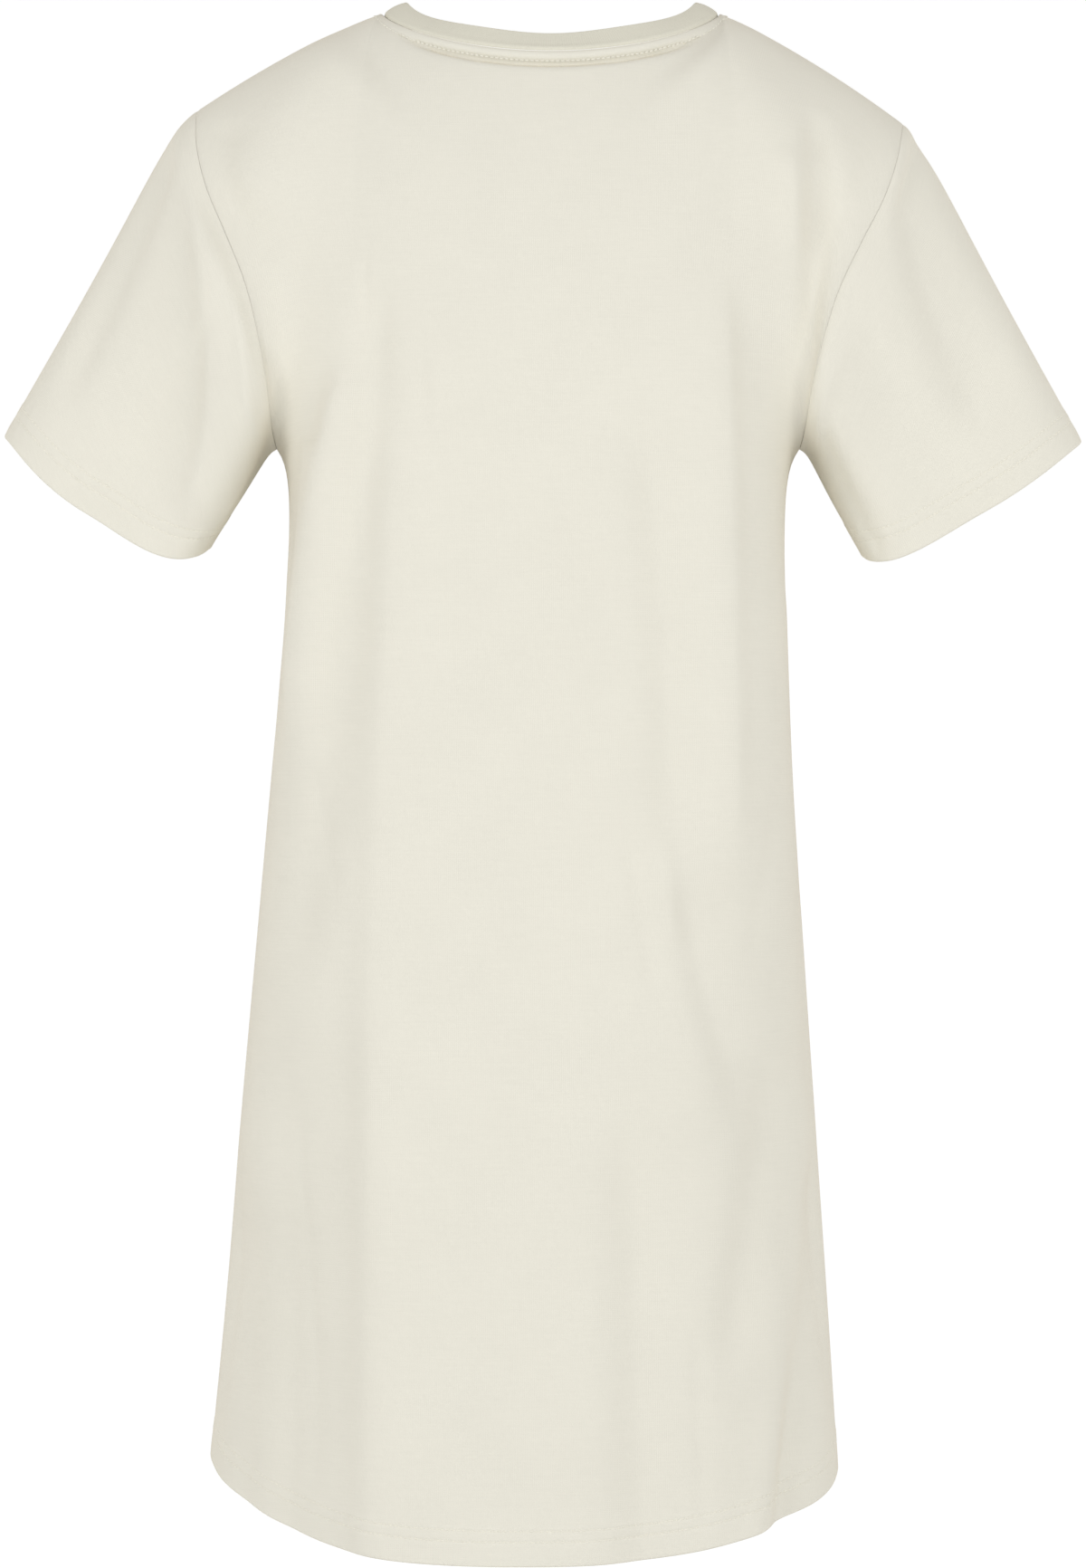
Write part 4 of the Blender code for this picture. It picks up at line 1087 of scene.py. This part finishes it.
class DRESS_OT_stitching(bpy.types.Operator):
    """Sew the twin stitch lines of hem and cuffs, and the single line below the back neck"""

    bl_idname = "dress.stitching"
    bl_label = "Stitching"

    def execute(self, context):
        sizes = context.scene.dress_sizes
        thread = thread_material(context.scene.dress_colours)
        back, front = body_panels(sizes)
        rows = [int(np.argmin(np.abs(HEM_RISES - line))) for line in STITCH_RISES]
        hem = [(cloth.outer[row], cloth.normals[row]) for cloth in (back, front) for row in rows]
        lines = {"hem_stitching": hem}
        for name, cloth in zip(("left", "right"), sleeves(sizes, back, front)):
            lines[name + "_cuff_stitching"] = [
                [np.concatenate([grid[-1 - row], grid[-1 - row, :1]])
                 for grid in (cloth.outer, cloth.normals)] for row in rows]
        lines["neck_stitching"] = [self.neck_line(back, sizes)]
        for name, group in lines.items():
            width = sizes.thread_width / MM * (NECK_THREAD if name == "neck_stitching" else 1.0)
            made = [self.sew(line, normals, sizes, width) for line, normals in group]
            starts = np.cumsum([0] + [len(points) for points, _ in made[:-1]])
            points = np.concatenate([points for points, _ in made])
            faces = np.concatenate([faces + start for (_, faces), start in zip(made, starts)])
            add_mesh(name, points, faces, thread)
        return {"FINISHED"}

    @staticmethod
    def sew(line, normals, sizes, width):
        """The stitches of one line."""
        places, along, out = even_places(line, normals, sizes.stitch_pitch / MM)
        return stitch_mesh(places + THREAD_LIFT * out, along, out, sizes.stitch_length / MM, width)

    @staticmethod
    def neck_line(back, sizes):
        """The line below the back neck seam: the seam moved into the cloth and laid on its surface."""
        edge = neck_edge(BACK, back.points)
        inward = unit(np.cross(unit(np.gradient(edge, axis=0)), neck_edge(BACK, back.normals)))
        inward = inward * -np.sign(np.sum(inward[:, 2]))
        wanted = edge + inward * sizes.topstitch_drop / MM
        surface = back.outer[back.armpit:].reshape(-1, 3)
        index, _ = nearest(wanted, surface)
        out = back.normals[back.armpit:].reshape(-1, 3)[index]
        above = np.sum((wanted - surface[index]) * out, axis=1, keepdims=True)
        return wanted - above * out, out


class DRESS_OT_stage(bpy.types.Operator):
    """Make the floor sweep, the soft lights and the camera"""

    bl_idname = "dress.stage"
    bl_label = "Studio"

    def execute(self, context):
        scene = context.scene
        self.sweep(studio_material(scene.dress_colours))
        scene.world = bpy.data.worlds.new("studio")
        scene.world.use_nodes = True
        background = scene.world.node_tree.nodes["Background"]
        background.inputs["Color"].default_value = (1.0, 1.0, 1.0, 1.0)
        background.inputs["Strength"].default_value = WORLD_LIGHT
        for box in SOFT_BOXES:
            lamp = bpy.data.lights.new(box.name, "AREA")
            lamp.shape = "RECTANGLE"
            lamp.size = box.width
            lamp.size_y = box.height
            lamp.energy = box.power
            item = bpy.data.objects.new(box.name, lamp)
            item.location = (box.x, box.y, box.z)
            aim = Vector(LIGHT_TARGET) - item.location
            item.rotation_euler = aim.to_track_quat("-Z", "Y").to_euler()
            item.visible_camera = False
            scene.collection.objects.link(item)
        lens = bpy.data.cameras.new("camera")
        lens.sensor_width = 36.0
        lens.lens = CAMERA_LENS
        lens.clip_end = 60.0
        camera = bpy.data.objects.new("camera", lens)
        camera.location = CAMERA_PLACE
        camera.rotation_euler = (np.pi / 2.0, 0.0, np.pi)
        scene.collection.objects.link(camera)
        scene.camera = camera
        scene.view_settings.view_transform = "Standard"
        return {"FINISHED"}

    @staticmethod
    def sweep(paper):
        """The floor: a round sheet that curves up, by a quarter circle, into a wall far away all round."""
        turn = np.linspace(0.0, np.pi / 2.0, SWEEP_CURVE_STEPS)
        radius = np.concatenate([FLOOR_RADII, WALL_START + WALL_CURVE * np.sin(turn)])[:, None]
        height = np.concatenate([np.zeros(len(FLOOR_RADII)), WALL_CURVE * (1.0 - np.cos(turn))])[:, None]
        around = np.arange(SWEEP_SIDES) / SWEEP_SIDES * 2.0 * np.pi
        points = grid_of(radius * np.cos(around), radius * np.sin(around), height + FLOOR_Z) * MM
        faces = tube_faces(len(radius), SWEEP_SIDES)
        mesh = bpy.data.meshes.new("studio_sweep")
        mesh.from_pydata(points.reshape(-1, 3).tolist(), [], faces.tolist())
        mesh.shade_smooth()
        mesh.materials.append(paper)
        floor = bpy.data.objects.new("studio_sweep", mesh)
        bpy.context.scene.collection.objects.link(floor)


class DRESS_PT_panel(bpy.types.Panel):
    """The dress's sizes, colours and makers in the sidebar"""

    bl_idname = "DRESS_PT_panel"
    bl_label = "Dress"
    bl_space_type = "VIEW_3D"
    bl_region_type = "UI"
    bl_category = "Dress"

    def draw(self, context):
        layout = self.layout
        for group in (context.scene.dress_sizes, context.scene.dress_colours):
            for name in group.__annotations__:
                layout.prop(group, name)
        for maker in MAKERS:
            layout.operator(maker.bl_idname)


MAKERS = (DRESS_OT_body, DRESS_OT_sleeves, DRESS_OT_neck_rib, DRESS_OT_stitching, DRESS_OT_stage)
CLASSES = (DressSizes, DressColours, *MAKERS, DRESS_PT_panel)


def register():
    """Register the classes and put the two groups of settings on the scene."""
    for item in CLASSES:
        bpy.utils.register_class(item)
    bpy.types.Scene.dress_sizes = bpy.props.PointerProperty(type=DressSizes)
    bpy.types.Scene.dress_colours = bpy.props.PointerProperty(type=DressColours)


def unregister():
    """Take the settings off the scene and unregister the classes."""
    del bpy.types.Scene.dress_colours
    del bpy.types.Scene.dress_sizes
    for item in reversed(CLASSES):
        bpy.utils.unregister_class(item)


def main():
    register()
    bpy.ops.dress.body()
    bpy.ops.dress.sleeves()
    bpy.ops.dress.neck_rib()
    bpy.ops.dress.stitching()
    bpy.ops.dress.stage()
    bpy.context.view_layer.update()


if __name__ == "__main__":
    main()
